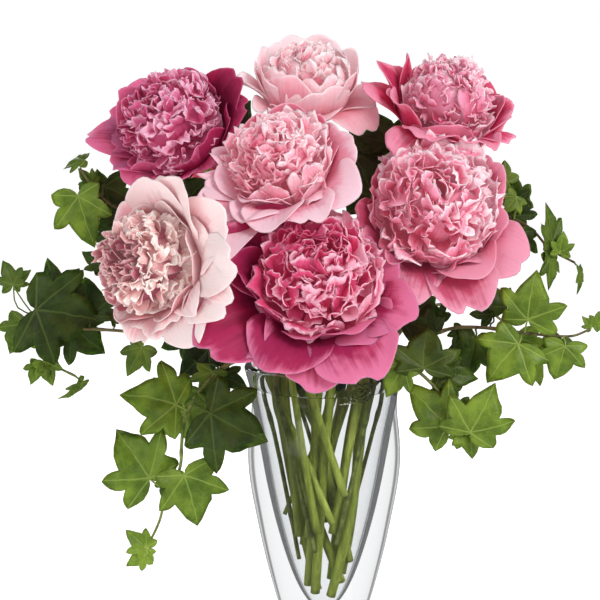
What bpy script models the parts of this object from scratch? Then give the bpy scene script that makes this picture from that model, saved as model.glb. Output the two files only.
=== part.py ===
"""Peonies and trailing ivy in a clear glass vase.

The vase stands on z = 0 with its axis on Z. The arrangement's front is on the -Y side, and +X is to its
right.
Sizes and places are in millimetres, and MM turns them into metres. Routes of stems and vines are lists
of points chosen by hand, which settle() then moves apart where they share the vase.
"""

import math

import bmesh
import bpy
import numpy as np
from mathutils import Matrix, Vector

MM = 0.001
GAP = 0.35  # what touching pieces keep between them

# Vase: a pointed hollow (a paraboloid) in thick glass, on a narrow waist and a plain round foot.
HOLLOW_BOTTOM = 65.0
HOLLOW_TOP = 257.5
HOLLOW_WIDENING = 3.93  # inner radius = widening * sqrt(height above the hollow's bottom)
HOLLOW_STEPS = 10
HOLLOW_CROWDING = 1.8  # over 1, the hollow's steps are closer together near its bottom
LIP = ((56.6, 260.0), (60.4, 260.0), (62.6, 257.8))
OUTSIDE = (
    (59.2, 245.0), (57.2, 234.0), (57.3, 222.0), (59.2, 204.0), (59.9, 185.0), (58.0, 165.0),
    (53.8, 142.0), (47.6, 112.0), (39.4, 80.0), (32.4, 56.0), (28.4, 38.0), (27.0, 25.0),
    (29.5, 14.5), (38.0, 8.2), (43.6, 5.4), (44.6, 3.0), (43.4, 0.0),
)
TURN_STEPS = 28
WATER_LEVEL = 242.5
TOP_STEP = 6.0  # the water's wall has no step so near its surface

# Peony stems and ivy vines
STEM_RADIUS = 3.5
SWELL = ((26.0, 3.5), (14.0, 4.0), (7.0, 6.4), (2.5, 8.6), (0.0, 8.0))  # (below the flower, radius)
VINE_RADIUS = 1.7
VINE_TIP_RADIUS = 0.9
LEAF_STALK_RADIUS = 0.75
LEAF_THICKNESS = 0.8
STALK_INSIDE = 3.0  # how far a leaf's stalk runs into its blade

# A flower head: guard petals hug the ball of inner petals, then spread.
HUG_GAP = 3.0
BALL_STEPS = 13
BALL_RUFFLE = 0.035  # depth of the ball's hollows against its radius
NECK_RADIUS = 5.0
GUARD_THICKNESS = 1.2
PETAL_LOBES = 6
STEPS_PER_LOBE = 4
LOBE_ROUNDING = 0.7  # under 1, the petals' ends are blunt
LOBE_DIP = 0.74  # how far the edge reaches between two petals, against the petals' own reach

# Each peony: middle of its ball of inner petals, the way it faces, the ball's radius, where its guard
# petals leave the ball (degrees from underneath), how far they then bend back (degrees), and how far
# each of the six reaches. The first is on the flower's right as seen from its front, then anticlockwise.
# Its stem runs from the cut tip through the vase's mouth and the points above it.
PEONIES = {
    "peony_1": dict(
        ball=(-118, -4, 450), faces=(-0.35, -0.74, 0.58), radius=40, leaves_at=62, bends=62,
        reach=(18, 18, 26, 40, 34, 28),
        tip=(-7, 4, 78), mouth=(-34, 2, 232), above=((-44, 8, 262), (-66, 22, 330)),
    ),
    "peony_2": dict(
        ball=(-14, 15, 482), faces=(0.02, -0.4, 0.92), radius=33, leaves_at=74, bends=34,
        reach=(32, 22, 24, 33, 34, 34),
        tip=(-11, -1, 84), mouth=(-5, 6, 232), above=((-6, 12, 262), (-10, 26, 350)),
    ),
    "peony_3": dict(
        ball=(96, 2, 468), faces=(0.22, -0.5, 0.84), radius=38, leaves_at=66, bends=46,
        reach=(24, 22, 26, 36, 25, 28),
        tip=(6, 3, 88), mouth=(23, 4, 232), above=((32, 6, 262), (58, 16, 340)),
    ),
    "peony_4": dict(
        ball=(-34, -52, 424), faces=(-0.2, -0.72, 0.66), radius=36, leaves_at=70, bends=40,
        reach=(30, 14, 11, 24, 34, 38),
        tip=(18, -4, 104), mouth=(-10, -18, 232), above=((-13, -16, 262), (-18, -8, 330)),
    ),
    "peony_5": dict(
        ball=(-132, -75, 350), faces=(-0.5, -0.83, 0.24), radius=38, leaves_at=66, bends=52,
        reach=(52, 50, 34, 12, 22, 34),
        tip=(11, -8, 87), mouth=(-35, -14, 232), above=((-45, -16, 262), (-72, -18, 300)),
    ),
    "peony_6": dict(
        ball=(82, -57, 391), faces=(0.04, -0.86, 0.5), radius=45, leaves_at=66, bends=58,
        reach=(30, 14, 10, 18, 24, 54),
        tip=(3, -7, 77), mouth=(30, -14, 232), above=((38, -14, 262), (56, -6, 318)),
    ),
    "peony_7": dict(
        ball=(-5, -102, 343), faces=(-0.02, -0.84, 0.54), radius=43, leaves_at=64, bends=60,
        reach=(25, 10, 12, 44, 58, 54),
        tip=(-9, -10, 80), mouth=(4, -26, 232), above=((5, -32, 262), (1, -34, 286)),
    ),
    "peony_8": dict(
        ball=(-62, 97, 400), faces=(-0.3, 0.8, 0.52), radius=38, leaves_at=66, bends=50,
        reach=(28, 22, 24, 28, 28, 28),
        tip=(25, 6, 125), mouth=(-21, 18, 232), above=((-25, 26, 262), (-38, 38, 320)),
    ),
    "peony_9": dict(
        ball=(74, 86, 392), faces=(0.42, 0.74, 0.5), radius=39, leaves_at=66, bends=50,
        reach=(28, 22, 24, 28, 28, 28),
        tip=(19, 2, 92), mouth=(26, 16, 232), above=((32, 22, 262), (44, 32, 318)),
    ),
    "peony_10": dict(
        ball=(0, 104, 330), faces=(0.0, 0.93, 0.36), radius=40, leaves_at=64, bends=56,
        reach=(30, 18, 18, 30, 32, 32),
        tip=(-23, 8, 113), mouth=(8, 26, 232), above=((10, 34, 262), (6, 42, 292)),
    ),
}

# Each ivy vine: its cut tip in the water, where it passes the mouth, and its route over the lip.
VINES = {
    "ivy_1_vine": dict(
        tip=(-12, 14, 112), mouth=(-38, 16, 232),
        above=(
            (-48, 18, 264), (-92, 22, 316), (-134, 20, 366), (-166, 14, 384), (-184, 8, 402),
            (-190, 10, 413),
        ),
    ),
    "ivy_2_vine": dict(
        tip=(-18, 4, 104), mouth=(-44, -2, 232),
        above=(
            (-54, -6, 263.5), (-88, -14, 278), (-124, -18, 286), (-160, -14, 289), (-188, -14, 290),
            (-206, -16, 286), (-216, -18, 275), (-213, -18, 264), (-205, -18, 260), (-193, -18, 254),
        ),
    ),
    "ivy_3_vine": dict(
        tip=(-7, -22, 116), mouth=(-33, -30, 232),
        above=(
            (-41, -33, 265), (-56, -43, 273), (-76, -57, 268), (-93, -66, 253), (-105, -70, 232),
            (-108, -72, 211), (-110, -70, 191), (-121, -66, 167), (-127, -64, 147), (-136, -62, 130),
        ),
    ),
    "ivy_4_vine": dict(
        tip=(9, -21, 122), mouth=(34, -28, 232),
        above=(
            (40, -33, 265), (52, -43, 272), (68, -56, 266), (82, -62, 254), (92, -64, 240),
            (100, -66, 226),
        ),
    ),
    "ivy_5_vine": dict(
        tip=(14, 17, 112), mouth=(43, 2, 232),
        above=(
            (53, -4, 264), (70, -18, 280), (98, -28, 293), (126, -34, 294), (150, -36, 291),
            (173, -32, 288), (190, -28, 287), (204, -26, 292),
        ),
    ),
    "ivy_6_vine": dict(
        tip=(-2, 20, 130), mouth=(36, 22, 232),
        above=(
            (48, 26, 264), (92, 40, 322), (126, 30, 366), (153, 12, 372), (174, 0, 352), (194, -4, 341),
        ),
    ),
    "ivy_7_vine": dict(
        tip=(10, 16, 118), mouth=(-22, 34, 232),
        above=((-26, 42, 266), (-56, 76, 279), (-92, 108, 270), (-112, 122, 240), (-118, 126, 204)),
    ),
    "ivy_8_vine": dict(
        tip=(-12, 18, 120), mouth=(22, 36, 232),
        above=((26, 42, 266), (60, 82, 284), (102, 112, 292), (142, 118, 284), (166, 112, 258)),
    ),
}

# Each ivy leaf: its vine, where its stalk meets the blade, the blade's tip, the way its face looks,
# and its width against its length. Small leaves at a vine's end are part of that vine's own solid.
LEAVES = {
    "ivy_1_leaf_1": ("ivy_1_vine", (-191, 3, 392), (-181, -3, 352), (-0.2, -1, 0.3), 0.9),
    "ivy_1_leaf_2": ("ivy_1_vine", (-172, 24, 398), (-160, 28, 358), (0.2, -1, 0.2), 0.9),
    "ivy_2_leaf_1": ("ivy_2_vine", (-222, -24, 307), (-170, -21, 296), (0.1, -1, 0.12), 1.15),
    "ivy_2_leaf_2": ("ivy_2_vine", (-206, -4, 304), (-217, 1, 344), (0.0, -1, 0.0), 0.75),
    "ivy_2_leaf_3": ("ivy_2_vine", (-232, -12, 294), (-247, -13, 270), (-0.1, -1, 0.1), 1.0),
    "ivy_3_leaf_1": ("ivy_3_vine", (-112, -74, 242), (-150, -80, 254), (0.1, -0.9, 0.5), 1.25),
    "ivy_3_leaf_2": ("ivy_3_vine", (-86, -80, 237), (-42, -84, 217), (0.0, -1, 0.35), 1.15),
    "ivy_3_leaf_3": ("ivy_3_vine", (-133, -66, 184), (-160, -62, 220), (-0.1, -1, 0.2), 1.1),
    "ivy_3_leaf_4": ("ivy_3_vine", (-106, -77, 189), (-95, -80, 149), (0.1, -1, 0.3), 1.05),
    "ivy_4_leaf_1": ("ivy_4_vine", (74, -62, 268), (78, -58, 300), (0.0, -1, 0.2), 1.3),
    "ivy_4_leaf_2": ("ivy_4_vine", (91, -73, 226), (62, -75, 255), (-0.1, -1, 0.1), 0.95),
    "ivy_4_leaf_3": ("ivy_4_vine", (108, -82, 223), (126, -88, 258), (0.1, -1, 0.2), 1.1),
    "ivy_5_leaf_1": ("ivy_5_vine", (154, -42, 302), (161, -46, 338), (0.1, -1, 0.3), 1.15),
    "ivy_5_leaf_2": ("ivy_5_vine", (146, -54, 285), (123, -62, 258), (0.0, -1, 0.3), 1.25),
    "ivy_5_leaf_3": ("ivy_5_vine", (116, -28, 285), (106, -26, 250), (-0.2, -1, 0.2), 0.8),
    "ivy_5_leaf_4": ("ivy_5_vine", (184, -34, 280), (178, -38, 253), (0.2, -1, 0.4), 1.2),
    "ivy_6_leaf_1": ("ivy_6_vine", (151, 16, 384), (144, 20, 412), (0.1, -1, 0.1), 0.8),
    "ivy_6_leaf_2": ("ivy_6_vine", (152, 4, 364), (148, 2, 338), (0.2, -1, 0.2), 0.95),
    "ivy_7_leaf_1": ("ivy_7_vine", (-124, 130, 214), (-140, 136, 178), (-0.3, 1, 0.3), 1.1),
    "ivy_8_leaf_1": ("ivy_8_vine", (164, 120, 262), (182, 128, 230), (0.3, 1, 0.3), 1.1),
}
END_LEAVES = {
    "ivy_1_vine": (((-188, 16, 419), (-208, 22, 415), (0.2, -0.8, 0.8), 0.7),),
    "ivy_2_vine": (
        ((-221, -18, 263), (-228, -26, 250), (-0.2, -1, 0.4), 1.0),
        ((-188, -18, 249), (-204, -20, 231), (0.9, -0.6, 0.1), 0.5),
    ),
    "ivy_3_vine": (((-137, -66, 124), (-151, -70, 118), (0.0, -1, 0.5), 1.0),),
    "ivy_4_vine": (((106, -62, 220), (100, -58, 202), (0.2, -1, 0.2), 0.8),),
    "ivy_5_vine": (((208, -24, 296), (222, -22, 300), (0.0, -1, 0.3), 0.9),),
    "ivy_6_vine": (
        ((176, -6, 358), (173, -10, 388), (0.6, -0.8, 0.0), 0.7),
        ((197, -8, 336), (199, -10, 316), (0.9, -0.5, 0.0), 0.6),
    ),
    "ivy_7_vine": (((-116, 130, 196), (-110, 134, 168), (0.2, 1, 0.2), 1.0),),
    "ivy_8_vine": (((172, 106, 250), (186, 104, 226), (0.8, 0.6, 0.1), 1.0),),
}

# Half an ivy leaf: distance along its middle lobe and out to the side, as parts of its length.
HALF_LEAF = (
    (-0.15, 0.13), (-0.20, 0.34), (0.02, 0.33), (0.12, 0.36), (0.36, 0.60), (0.42, 0.27),
    (0.62, 0.24), (0.84, 0.11),
)

# Settling of the stems in the vase
SETTLE_TOP = 250.0
SETTLE_POINTS = 7
SETTLE_ROUNDS = 420
LAST_FREE_ROUNDS = 160  # in these the stems only move apart, and no longer straighten
PUSH = 0.45  # share of an overlap that a stem moves away in one round
STRAIGHTENING = 0.12
LEAN_ROOM = 1.14  # leaning stems need more room side by side than across
SIDE_ROOM = 1.0
WALL_ROOM = 1.5
UNDER_TIP = 3.0  # a stem is pushed by a neighbour down to so far under that one's cut tip
SMALL = 0.01  # keeps a division off zero


# ---------------------------------------------------------------- helpers

def clear_scene():
    for obj in list(bpy.data.objects):
        bpy.data.objects.remove(obj, do_unlink=True)


def new_collection(name):
    collection = bpy.data.collections.new(name)
    bpy.context.scene.collection.children.link(collection)
    return collection


def material(name, colour, roughness, alpha=1.0, transmission=0.0):
    made = bpy.data.materials.new(name)
    made.use_nodes = True
    shader = made.node_tree.nodes["Principled BSDF"]
    shader.inputs["Base Color"].default_value = (*colour, 1.0)
    shader.inputs["Roughness"].default_value = roughness
    shader.inputs["Metallic"].default_value = 0.0
    shader.inputs["Alpha"].default_value = alpha
    shader.inputs["Transmission Weight"].default_value = transmission
    return made


def add_object(name, data, collection, finish=None):
    obj = bpy.data.objects.new(name, data)
    if finish:
        data.materials.append(finish)
    collection.objects.link(obj)
    return obj


def add_mesh(name, points, faces, collection, finish=None):
    mesh = bpy.data.meshes.new(name)
    mesh.from_pydata([tuple(float(c) * MM for c in point) for point in points], [], faces)
    mesh.validate()
    return add_object(name, mesh, collection, finish)


def turned(name, profile, collection, finish):
    """A solid of revolution about Z from (radius, height) pairs that run down its outer side."""
    points = [(radius, 0.0, height) for radius, height in profile]
    edges = [(k, k + 1) for k in range(len(points) - 1)]
    mesh = bpy.data.meshes.new(name)
    mesh.from_pydata([tuple(c * MM for c in point) for point in points], edges, [])
    obj = add_object(name, mesh, collection, finish)
    screw = obj.modifiers.new("turn", "SCREW")
    screw.steps = TURN_STEPS
    screw.render_steps = TURN_STEPS
    screw.use_merge_vertices = True
    screw.merge_threshold = 0.00001
    screw.use_smooth_shade = True
    return obj


def tube(name, points, radii, collection, finish=None, resolution=1):
    """A round rod along the points, with its own radius at each of them, as a bevelled curve."""
    widest = max(radii)
    curve = bpy.data.curves.new(name, "CURVE")
    curve.dimensions = "3D"
    curve.bevel_depth = widest * MM
    curve.bevel_resolution = resolution
    curve.use_fill_caps = True
    spline = curve.splines.new("POLY")
    spline.points.add(len(points) - 1)
    for spot, place, radius in zip(spline.points, points, radii):
        spot.co = (*(float(c) * MM for c in place), 1.0)
        spot.radius = radius / widest
    return add_object(name, curve, collection, finish)


def as_mesh(obj, collection, finish=None):
    """Turns a curve object into a mesh object whose caps are welded."""
    graph = bpy.context.evaluated_depsgraph_get()
    graph.update()
    mesh = bpy.data.meshes.new_from_object(obj.evaluated_get(graph))
    shape = bmesh.new()
    shape.from_mesh(mesh)
    bmesh.ops.remove_doubles(shape, verts=shape.verts, dist=0.00001)
    bmesh.ops.recalc_face_normals(shape, faces=shape.faces)
    shape.to_mesh(mesh)
    shape.free()
    name = obj.name
    place = obj.matrix_world.copy()
    bpy.data.objects.remove(obj, do_unlink=True)
    mesh.materials.clear()
    made = add_object(name, mesh, collection, finish)
    made.matrix_world = place
    return made


def joined(base, other, operation):
    """Adds or cuts the other object with a Boolean, applies it and removes the other."""
    boolean = base.modifiers.new("boolean", "BOOLEAN")
    boolean.operation = operation
    boolean.object = other
    graph = bpy.context.evaluated_depsgraph_get()
    graph.update()
    mesh = bpy.data.meshes.new_from_object(base.evaluated_get(graph))
    base.modifiers.clear()
    base.data = mesh
    bpy.data.objects.remove(other, do_unlink=True)
    return base


def unit(vector):
    return Vector(vector).normalized()


# ---------------------------------------------------------------- vase and water

def hollow_radius(height):
    """Inner radius of the vase at a height."""
    return HOLLOW_WIDENING * np.sqrt(np.maximum(np.asarray(height, float) - HOLLOW_BOTTOM, 0.0))


def hollow_profile():
    """(radius, height) pairs from the hollow's bottom to its top, closer together near the bottom."""
    parts = np.linspace(0.0, 1.0, HOLLOW_STEPS) ** HOLLOW_CROWDING
    heights = HOLLOW_BOTTOM + (HOLLOW_TOP - HOLLOW_BOTTOM) * parts
    return [(float(hollow_radius(h)), float(h)) for h in heights]


def make_vase(collection, finish):
    """The vase: its profile runs up the hollow, over the lip and down the outside to the foot."""
    profile = hollow_profile() + list(LIP) + list(OUTSIDE) + [(0.0, 0.0)]
    return turned("glass_vase", profile, collection, finish)


def make_water(collection, finish, cutters):
    """The water: the hollow's shape less a gap at the wall, cut out round each stem and vine."""
    wall = [(r, h) for r, h in hollow_profile() if h < WATER_LEVEL - TOP_STEP]
    top = float(hollow_radius(WATER_LEVEL))
    side = [(top, WATER_LEVEL)] + wall[:0:-1]
    profile = [(0.0, WATER_LEVEL)]
    profile += [(r - GAP, h + (GAP if h < WATER_LEVEL else 0.0)) for r, h in side]
    profile += [(0.0, HOLLOW_BOTTOM + 2 * GAP)]
    water = turned("water", profile, collection, finish)
    graph = bpy.context.evaluated_depsgraph_get()
    graph.update()
    solid = bpy.data.meshes.new_from_object(water.evaluated_get(graph))
    water.modifiers.clear()
    water.data = solid
    for cutter in cutters:
        joined(water, cutter, "DIFFERENCE")
    return water


# ---------------------------------------------------------------- stems and vines

def eased_route(points, count):
    """Points at even spacing along a smooth curve (Catmull-Rom) through the given ones."""
    points = np.array(points, float)
    before = 2 * points[0] - points[1]
    after = 2 * points[-1] - points[-2]
    knots = np.vstack([before, points, after])
    t = np.linspace(0.0, 1.0, 12, endpoint=False)[:, None]
    fine = []
    for a, b, c, d in zip(knots, knots[1:], knots[2:], knots[3:]):
        square = (2 * a - 5 * b + 4 * c - d) * t**2
        cube = (3 * b - a - 3 * c + d) * t**3
        fine.append(0.5 * (2 * b + (c - a) * t + square + cube))
    fine = np.vstack([*fine, knots[-2:-1]])
    along = np.concatenate([[0.0], np.cumsum(np.linalg.norm(np.diff(fine, axis=0), axis=1))])
    wanted = np.linspace(0.0, along[-1], count)
    return np.column_stack([np.interp(wanted, along, fine[:, k]) for k in range(3)])


def in_vase(route):
    """The part of a route from its cut tip to the top of the settled bunch, at even heights."""
    heights = np.linspace(route["tip"][2], SETTLE_TOP, SETTLE_POINTS)
    knots = np.array([route["tip"], route["mouth"], route["above"][0]], float)
    return np.column_stack([np.interp(heights, knots[:, 2], knots[:, k]) for k in (0, 1)] + [heights])


def push_from(one, other, room):
    """How far each point of a path moves sideways to leave another path that comes nearer than room."""
    near = np.column_stack([np.interp(one[:, 2], other[:, 2], other[:, k]) for k in (0, 1)])
    away = one[:, :2] - near
    apart = np.maximum(np.linalg.norm(away, axis=1), SMALL)
    beside = one[:, 2] > other[0, 2] - UNDER_TIP
    overlap = np.clip(room - apart, 0.0, None) * beside
    return PUSH * (overlap / apart)[:, None] * away


def straighten(path):
    """Draws a path a little towards the gentle curve that fits it best."""
    fits = [np.polyfit(path[:, 2], path[:, k], 2) for k in (0, 1)]
    bend = np.column_stack([np.polyval(fit, path[:, 2]) for fit in fits])
    path[:, :2] += STRAIGHTENING * (bend - path[:, :2])


def keep_inside(path, radius):
    """Moves the points of a path that are too near the vase's wall towards the axis."""
    limit = np.maximum(hollow_radius(path[:, 2]) - radius - WALL_ROOM, 1.0)
    reach = np.maximum(np.linalg.norm(path[:, :2], axis=1), SMALL)
    path[:, :2] *= np.minimum(1.0, limit / reach)[:, None]


def settle(routes, radii):
    """Moves the stems sideways in the vase until none overlaps."""
    paths = [in_vase(route) for route in routes]
    for turn in range(SETTLE_ROUNDS):
        moves = [np.zeros((SETTLE_POINTS, 2)) for _ in paths]
        for i, one in enumerate(paths):
            for j, other in enumerate(paths):
                if i != j:
                    moves[i] += push_from(one, other, (radii[i] + radii[j] + SIDE_ROOM) * LEAN_ROOM)
        for path, move, radius in zip(paths, moves, radii):
            path[:, :2] += move
            if turn < SETTLE_ROUNDS - LAST_FREE_ROUNDS:
                straighten(path)
            keep_inside(path, radius)
    return paths


def peony_base(peony):
    """The top of a peony's stem: on the flower's axis, just under its guard petals."""
    depth = peony["radius"] + HUG_GAP + GUARD_THICKNESS + GAP
    return Vector(peony["ball"]) - depth * unit(peony["faces"])


def stem_route(peony, settled):
    """The whole route of a stem, and its radius at each point: it swells under the flower."""
    base = peony_base(peony)
    axis = unit(peony["faces"])
    swell = [tuple(base - axis * back) for back, _ in SWELL]
    upper = eased_route([tuple(settled[-1]), *peony["above"], swell[0]], 7)[1:]
    points = np.vstack([settled, upper[:-1], swell])
    radii = [STEM_RADIUS] * (len(points) - len(SWELL)) + [radius for _, radius in SWELL]
    return points, radii


def vine_route(vine, settled):
    """The whole route of a vine, and its radius at each point: it thins to its end."""
    count = 3 + int(1.6 * len(vine["above"]))
    upper = eased_route([tuple(settled[-1]), *vine["above"]], count)[1:]
    points = np.vstack([settled, upper])
    thin = np.linspace(VINE_RADIUS, VINE_TIP_RADIUS, len(upper))
    return points, [VINE_RADIUS] * len(settled) + list(thin)


def water_cutter(name, points, radii, collection):
    """The tube that a stem takes out of the water: a gap wider than the stem, and past its cut tip."""
    wet = points[points[:, 2] < SETTLE_TOP + 1.0]
    down = np.subtract(wet[0], wet[1])
    lower = wet[0] + down / np.linalg.norm(down) * GAP * 1.4
    wet = np.vstack([lower, wet[1:]])
    cutter = tube(name, wet, [radii[0] + GAP * 1.3] * len(wet), collection)
    cutter = as_mesh(cutter, collection)
    cutter.hide_render = True
    return cutter


# ---------------------------------------------------------------- flower heads

def head_matrix(peony):
    """The flower's own frame: X to its right as seen from its front, Y to its top, Z as it faces."""
    facing = unit(peony["faces"])
    top = (Vector((0, 0, 1)) - facing * facing.z).normalized()
    right = top.cross(facing)
    turn = Matrix((right, top, facing)).transposed().to_4x4()
    return Matrix.Translation(Vector(peony["ball"]) * MM) @ turn


def make_ball(name, peony, collection, finish):
    """The ball of inner petals: a slightly ruffled sphere with a short neck down to the guard petals."""
    radius = peony["radius"]
    angles = np.radians(np.linspace(0.0, 180.0, 8))
    ruffle = 1.0 - BALL_RUFFLE * (1 - np.cos(angles * 8)) / 2
    profile = [(radius * u * math.sin(a), radius * u * math.cos(a)) for a, u in zip(angles, ruffle)]
    profile[0] = (0.0, radius * 0.98)
    profile[-1] = (NECK_RADIUS, -radius - 0.9)
    profile.append((0.0, -radius - HUG_GAP + GAP))
    ball = turned(name, profile, collection, finish)
    ball.modifiers["turn"].steps = BALL_STEPS
    ball.modifiers["turn"].render_steps = BALL_STEPS
    ball.matrix_world = head_matrix(peony)
    return ball


def edge_reach(peony, angle):
    """How far the guard petals reach at an angle: full at each petal's middle, less between petals."""
    place = angle / (2 * math.pi) * PETAL_LOBES
    low = int(math.floor(place)) % PETAL_LOBES
    part = place - math.floor(place)
    reach = peony["reach"]
    here = reach[low] * (1 - part) + reach[(low + 1) % PETAL_LOBES] * part
    return here * (LOBE_DIP + (1 - LOBE_DIP) * abs(math.cos(math.pi * place)) ** LOBE_ROUNDING)


def guard_point(peony, angle, ring):
    """A point of the guard petals: rings 0 to 2 lie on the ball, rings 3 and 4 spread and bend back."""
    hug = peony["radius"] + HUG_GAP
    leaves_at = math.radians(peony["leaves_at"])
    down = leaves_at * min(ring, 2) / 2
    radius = hug * math.sin(down)
    height = -hug * math.cos(down)
    part = max(ring - 2, 0) / 2
    heading = leaves_at - math.radians(peony["bends"]) * part / 2
    reach = edge_reach(peony, angle) * part
    radius += reach * math.cos(heading)
    height += reach * math.sin(heading)
    return (radius * math.cos(angle), radius * math.sin(angle), height)


def make_guards(name, peony, collection, finish):
    """The guard petals as one lobed bowl: an open polar grid given its thickness by Solidify."""
    steps = PETAL_LOBES * STEPS_PER_LOBE
    points = [guard_point(peony, 0.0, 0)]
    for ring in range(1, 5):
        points += [guard_point(peony, 2 * math.pi * k / steps, ring) for k in range(steps)]
    faces = [(0, 1 + (k + 1) % steps, 1 + k) for k in range(steps)]
    for ring in range(3):
        inner = 1 + ring * steps
        outer = inner + steps
        for k in range(steps):
            after = (k + 1) % steps
            faces.append((inner + k, inner + after, outer + after, outer + k))
    guards = add_mesh(name, points, faces, collection, finish)
    guards.matrix_world = head_matrix(peony)
    wall = guards.modifiers.new("thickness", "SOLIDIFY")
    wall.thickness = GUARD_THICKNESS * MM
    wall.offset = 1.0
    return guards


# ---------------------------------------------------------------- ivy leaves

def leaf_matrix(base, tip, faces):
    """A leaf's own frame: X from its stalk to its tip, Z the way its upper side looks."""
    along = (Vector(tip) - Vector(base)).normalized()
    up = Vector(faces)
    up = (up - along * up.dot(along)).normalized()
    side = up.cross(along)
    turn = Matrix((along, side, up)).transposed().to_4x4()
    return Matrix.Translation(Vector(base) * MM) @ turn


def make_blade(name, base, tip, faces, width, collection):
    """A flat ivy blade: the outline of five pointed lobes as a filled and extruded 2D curve."""
    length = (Vector(tip) - Vector(base)).length
    half = [(x * length, y * length * width) for x, y in HALF_LEAF]
    outline = [(0.0, 0.0), *half, (length, 0.0), *[(x, -y) for x, y in reversed(half)]]
    curve = bpy.data.curves.new(name, "CURVE")
    curve.dimensions = "2D"
    curve.fill_mode = "BOTH"
    curve.extrude = LEAF_THICKNESS / 2 * MM
    spline = curve.splines.new("POLY")
    spline.points.add(len(outline) - 1)
    for spot, (x, y) in zip(spline.points, outline):
        spot.co = (x * MM, y * MM, 0.0, 1.0)
    spline.use_cyclic_u = True
    blade = add_object(name, curve, collection)
    blade.matrix_world = leaf_matrix(base, tip, faces)
    bpy.context.view_layer.update()
    return as_mesh(blade, collection)


def nearest_on(points, place):
    """The nearest point of a polyline to a place, and the index of its stretch."""
    best = (1e9, None, 0)
    for k, (a, b) in enumerate(zip(points, points[1:])):
        step = b - a
        part = float(np.clip(np.dot(np.subtract(place, a), step) / np.dot(step, step), 0.0, 1.0))
        spot = a + part * step
        distance = float(np.linalg.norm(np.subtract(place, spot)))
        if distance < best[0]:
            best = (distance, spot, k)
    return Vector(best[1]), best[2]


def make_leaf(name, vine, base, tip, faces, width, collection, finish, grown_on):
    """A blade with its stalk. The stalk starts inside the vine where the leaf is grown on it.

    Where it isn't, the stalk starts just clear of the vine's side.
    """
    points, radii = vine
    root, stretch = nearest_on(points, base)
    away = (Vector(base) - root).normalized()
    start = root if grown_on else root + away * (radii[stretch] + GAP)
    along = (Vector(tip) - Vector(base)).normalized()
    reach = (Vector(base) - start).length
    bend = Vector(base) - along * (0.4 * reach)
    middle = (start + away * (0.45 * reach)) * 0.5 + bend * 0.5
    end = Vector(base) + along * STALK_INSIDE
    route = [start, start + away * (0.3 * reach), middle, Vector(base) - along * 0.8, end]
    stalk = tube(name + "_stalk", route, [LEAF_STALK_RADIUS] * len(route), collection)
    leaf = make_blade(name, base, tip, faces, width, collection)
    leaf.name = name
    joined(leaf, as_mesh(stalk, collection), "UNION")
    leaf.data.materials.clear()
    leaf.data.materials.append(finish)
    return leaf


# ---------------------------------------------------------------- the arrangement

def make_flowers(paths, collection, green):
    """Each peony's stem, guard petals and ball of inner petals."""
    tones = {
        "peony_1": ((0.36, 0.02, 0.12), (0.55, 0.08, 0.25)),
        "peony_2": ((0.90, 0.50, 0.60), (0.92, 0.62, 0.68)),
        "peony_3": ((0.62, 0.09, 0.25), (0.75, 0.25, 0.40)),
        "peony_4": ((0.80, 0.30, 0.43), (0.88, 0.48, 0.58)),
        "peony_5": ((0.85, 0.60, 0.62), (0.72, 0.36, 0.40)),
        "peony_6": ((0.75, 0.18, 0.36), (0.85, 0.40, 0.52)),
        "peony_7": ((0.58, 0.03, 0.17), (0.68, 0.10, 0.28)),
    }
    other = ((0.75, 0.22, 0.38), (0.85, 0.42, 0.54))
    for name, peony in PEONIES.items():
        guard_colour, inner_colour = tones.get(name, other)
        points, radii = paths[name]
        tube(name + "_stem", points, radii, collection, green)
        guard_finish = material(name + "_guard_petal", guard_colour, 0.6)
        inner_finish = material(name + "_inner_petal", inner_colour, 0.65)
        make_guards(name + "_guard_petals", peony, collection, guard_finish)
        make_ball(name + "_inner_petals", peony, collection, inner_finish)


def make_ivy(paths, collection, bark, leaf_green):
    """Each vine with its small end leaves grown on it, and the larger leaves as solids of their own."""
    for name in VINES:
        points, radii = paths[name]
        vine = as_mesh(tube(name, points, radii, collection), collection, bark)
        for k, (base, tip, faces, width) in enumerate(END_LEAVES.get(name, ())):
            end_name = f"{name}_end_{k}"
            end_leaf = make_leaf(end_name, paths[name], base, tip, faces, width, collection, bark, True)
            joined(vine, end_leaf, "UNION")
    for name, (vine_name, base, tip, faces, width) in LEAVES.items():
        make_leaf(name, paths[vine_name], base, tip, faces, width, collection, leaf_green, False)


def all_paths():
    """The routes of all stems and vines after they have settled against each other in the vase."""
    routes = {**PEONIES, **VINES}
    radii = [STEM_RADIUS] * len(PEONIES) + [VINE_RADIUS] * len(VINES)
    settled = dict(zip(routes, settle(list(routes.values()), radii)))
    paths = {name: stem_route(peony, settled[name]) for name, peony in PEONIES.items()}
    paths.update({name: vine_route(vine, settled[name]) for name, vine in VINES.items()})
    return paths


def main():
    clear_scene()
    arrangement = new_collection("peonies_in_vase")
    cutters = new_collection("cutters")
    glass = material("clear_glass", (0.93, 0.96, 0.97), 0.03, alpha=0.35, transmission=1.0)
    water = material("water", (0.90, 0.96, 0.94), 0.02, alpha=0.3, transmission=1.0)
    green = material("peony_stem", (0.13, 0.22, 0.03), 0.5)
    bark = material("ivy_vine", (0.12, 0.10, 0.04), 0.6)
    leaf_green = material("ivy_leaf", (0.08, 0.18, 0.02), 0.4)
    paths = all_paths()
    make_vase(arrangement, glass)
    wet = [water_cutter("wet_" + name, points, radii, cutters) for name, (points, radii) in paths.items()]
    make_water(arrangement, water, wet)
    make_flowers(paths, arrangement, green)
    make_ivy(paths, arrangement, bark, leaf_green)


main()
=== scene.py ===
"""Looks of the peonies and trailing ivy in a clear glass vase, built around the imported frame.

The vase stands on z = 0 with its axis on Z. The arrangement's front is on the -Y side, +X is to its right.
Shapes are worked out in millimetres, and MM turns them into metres where the meshes are made.
"""

import math

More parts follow.
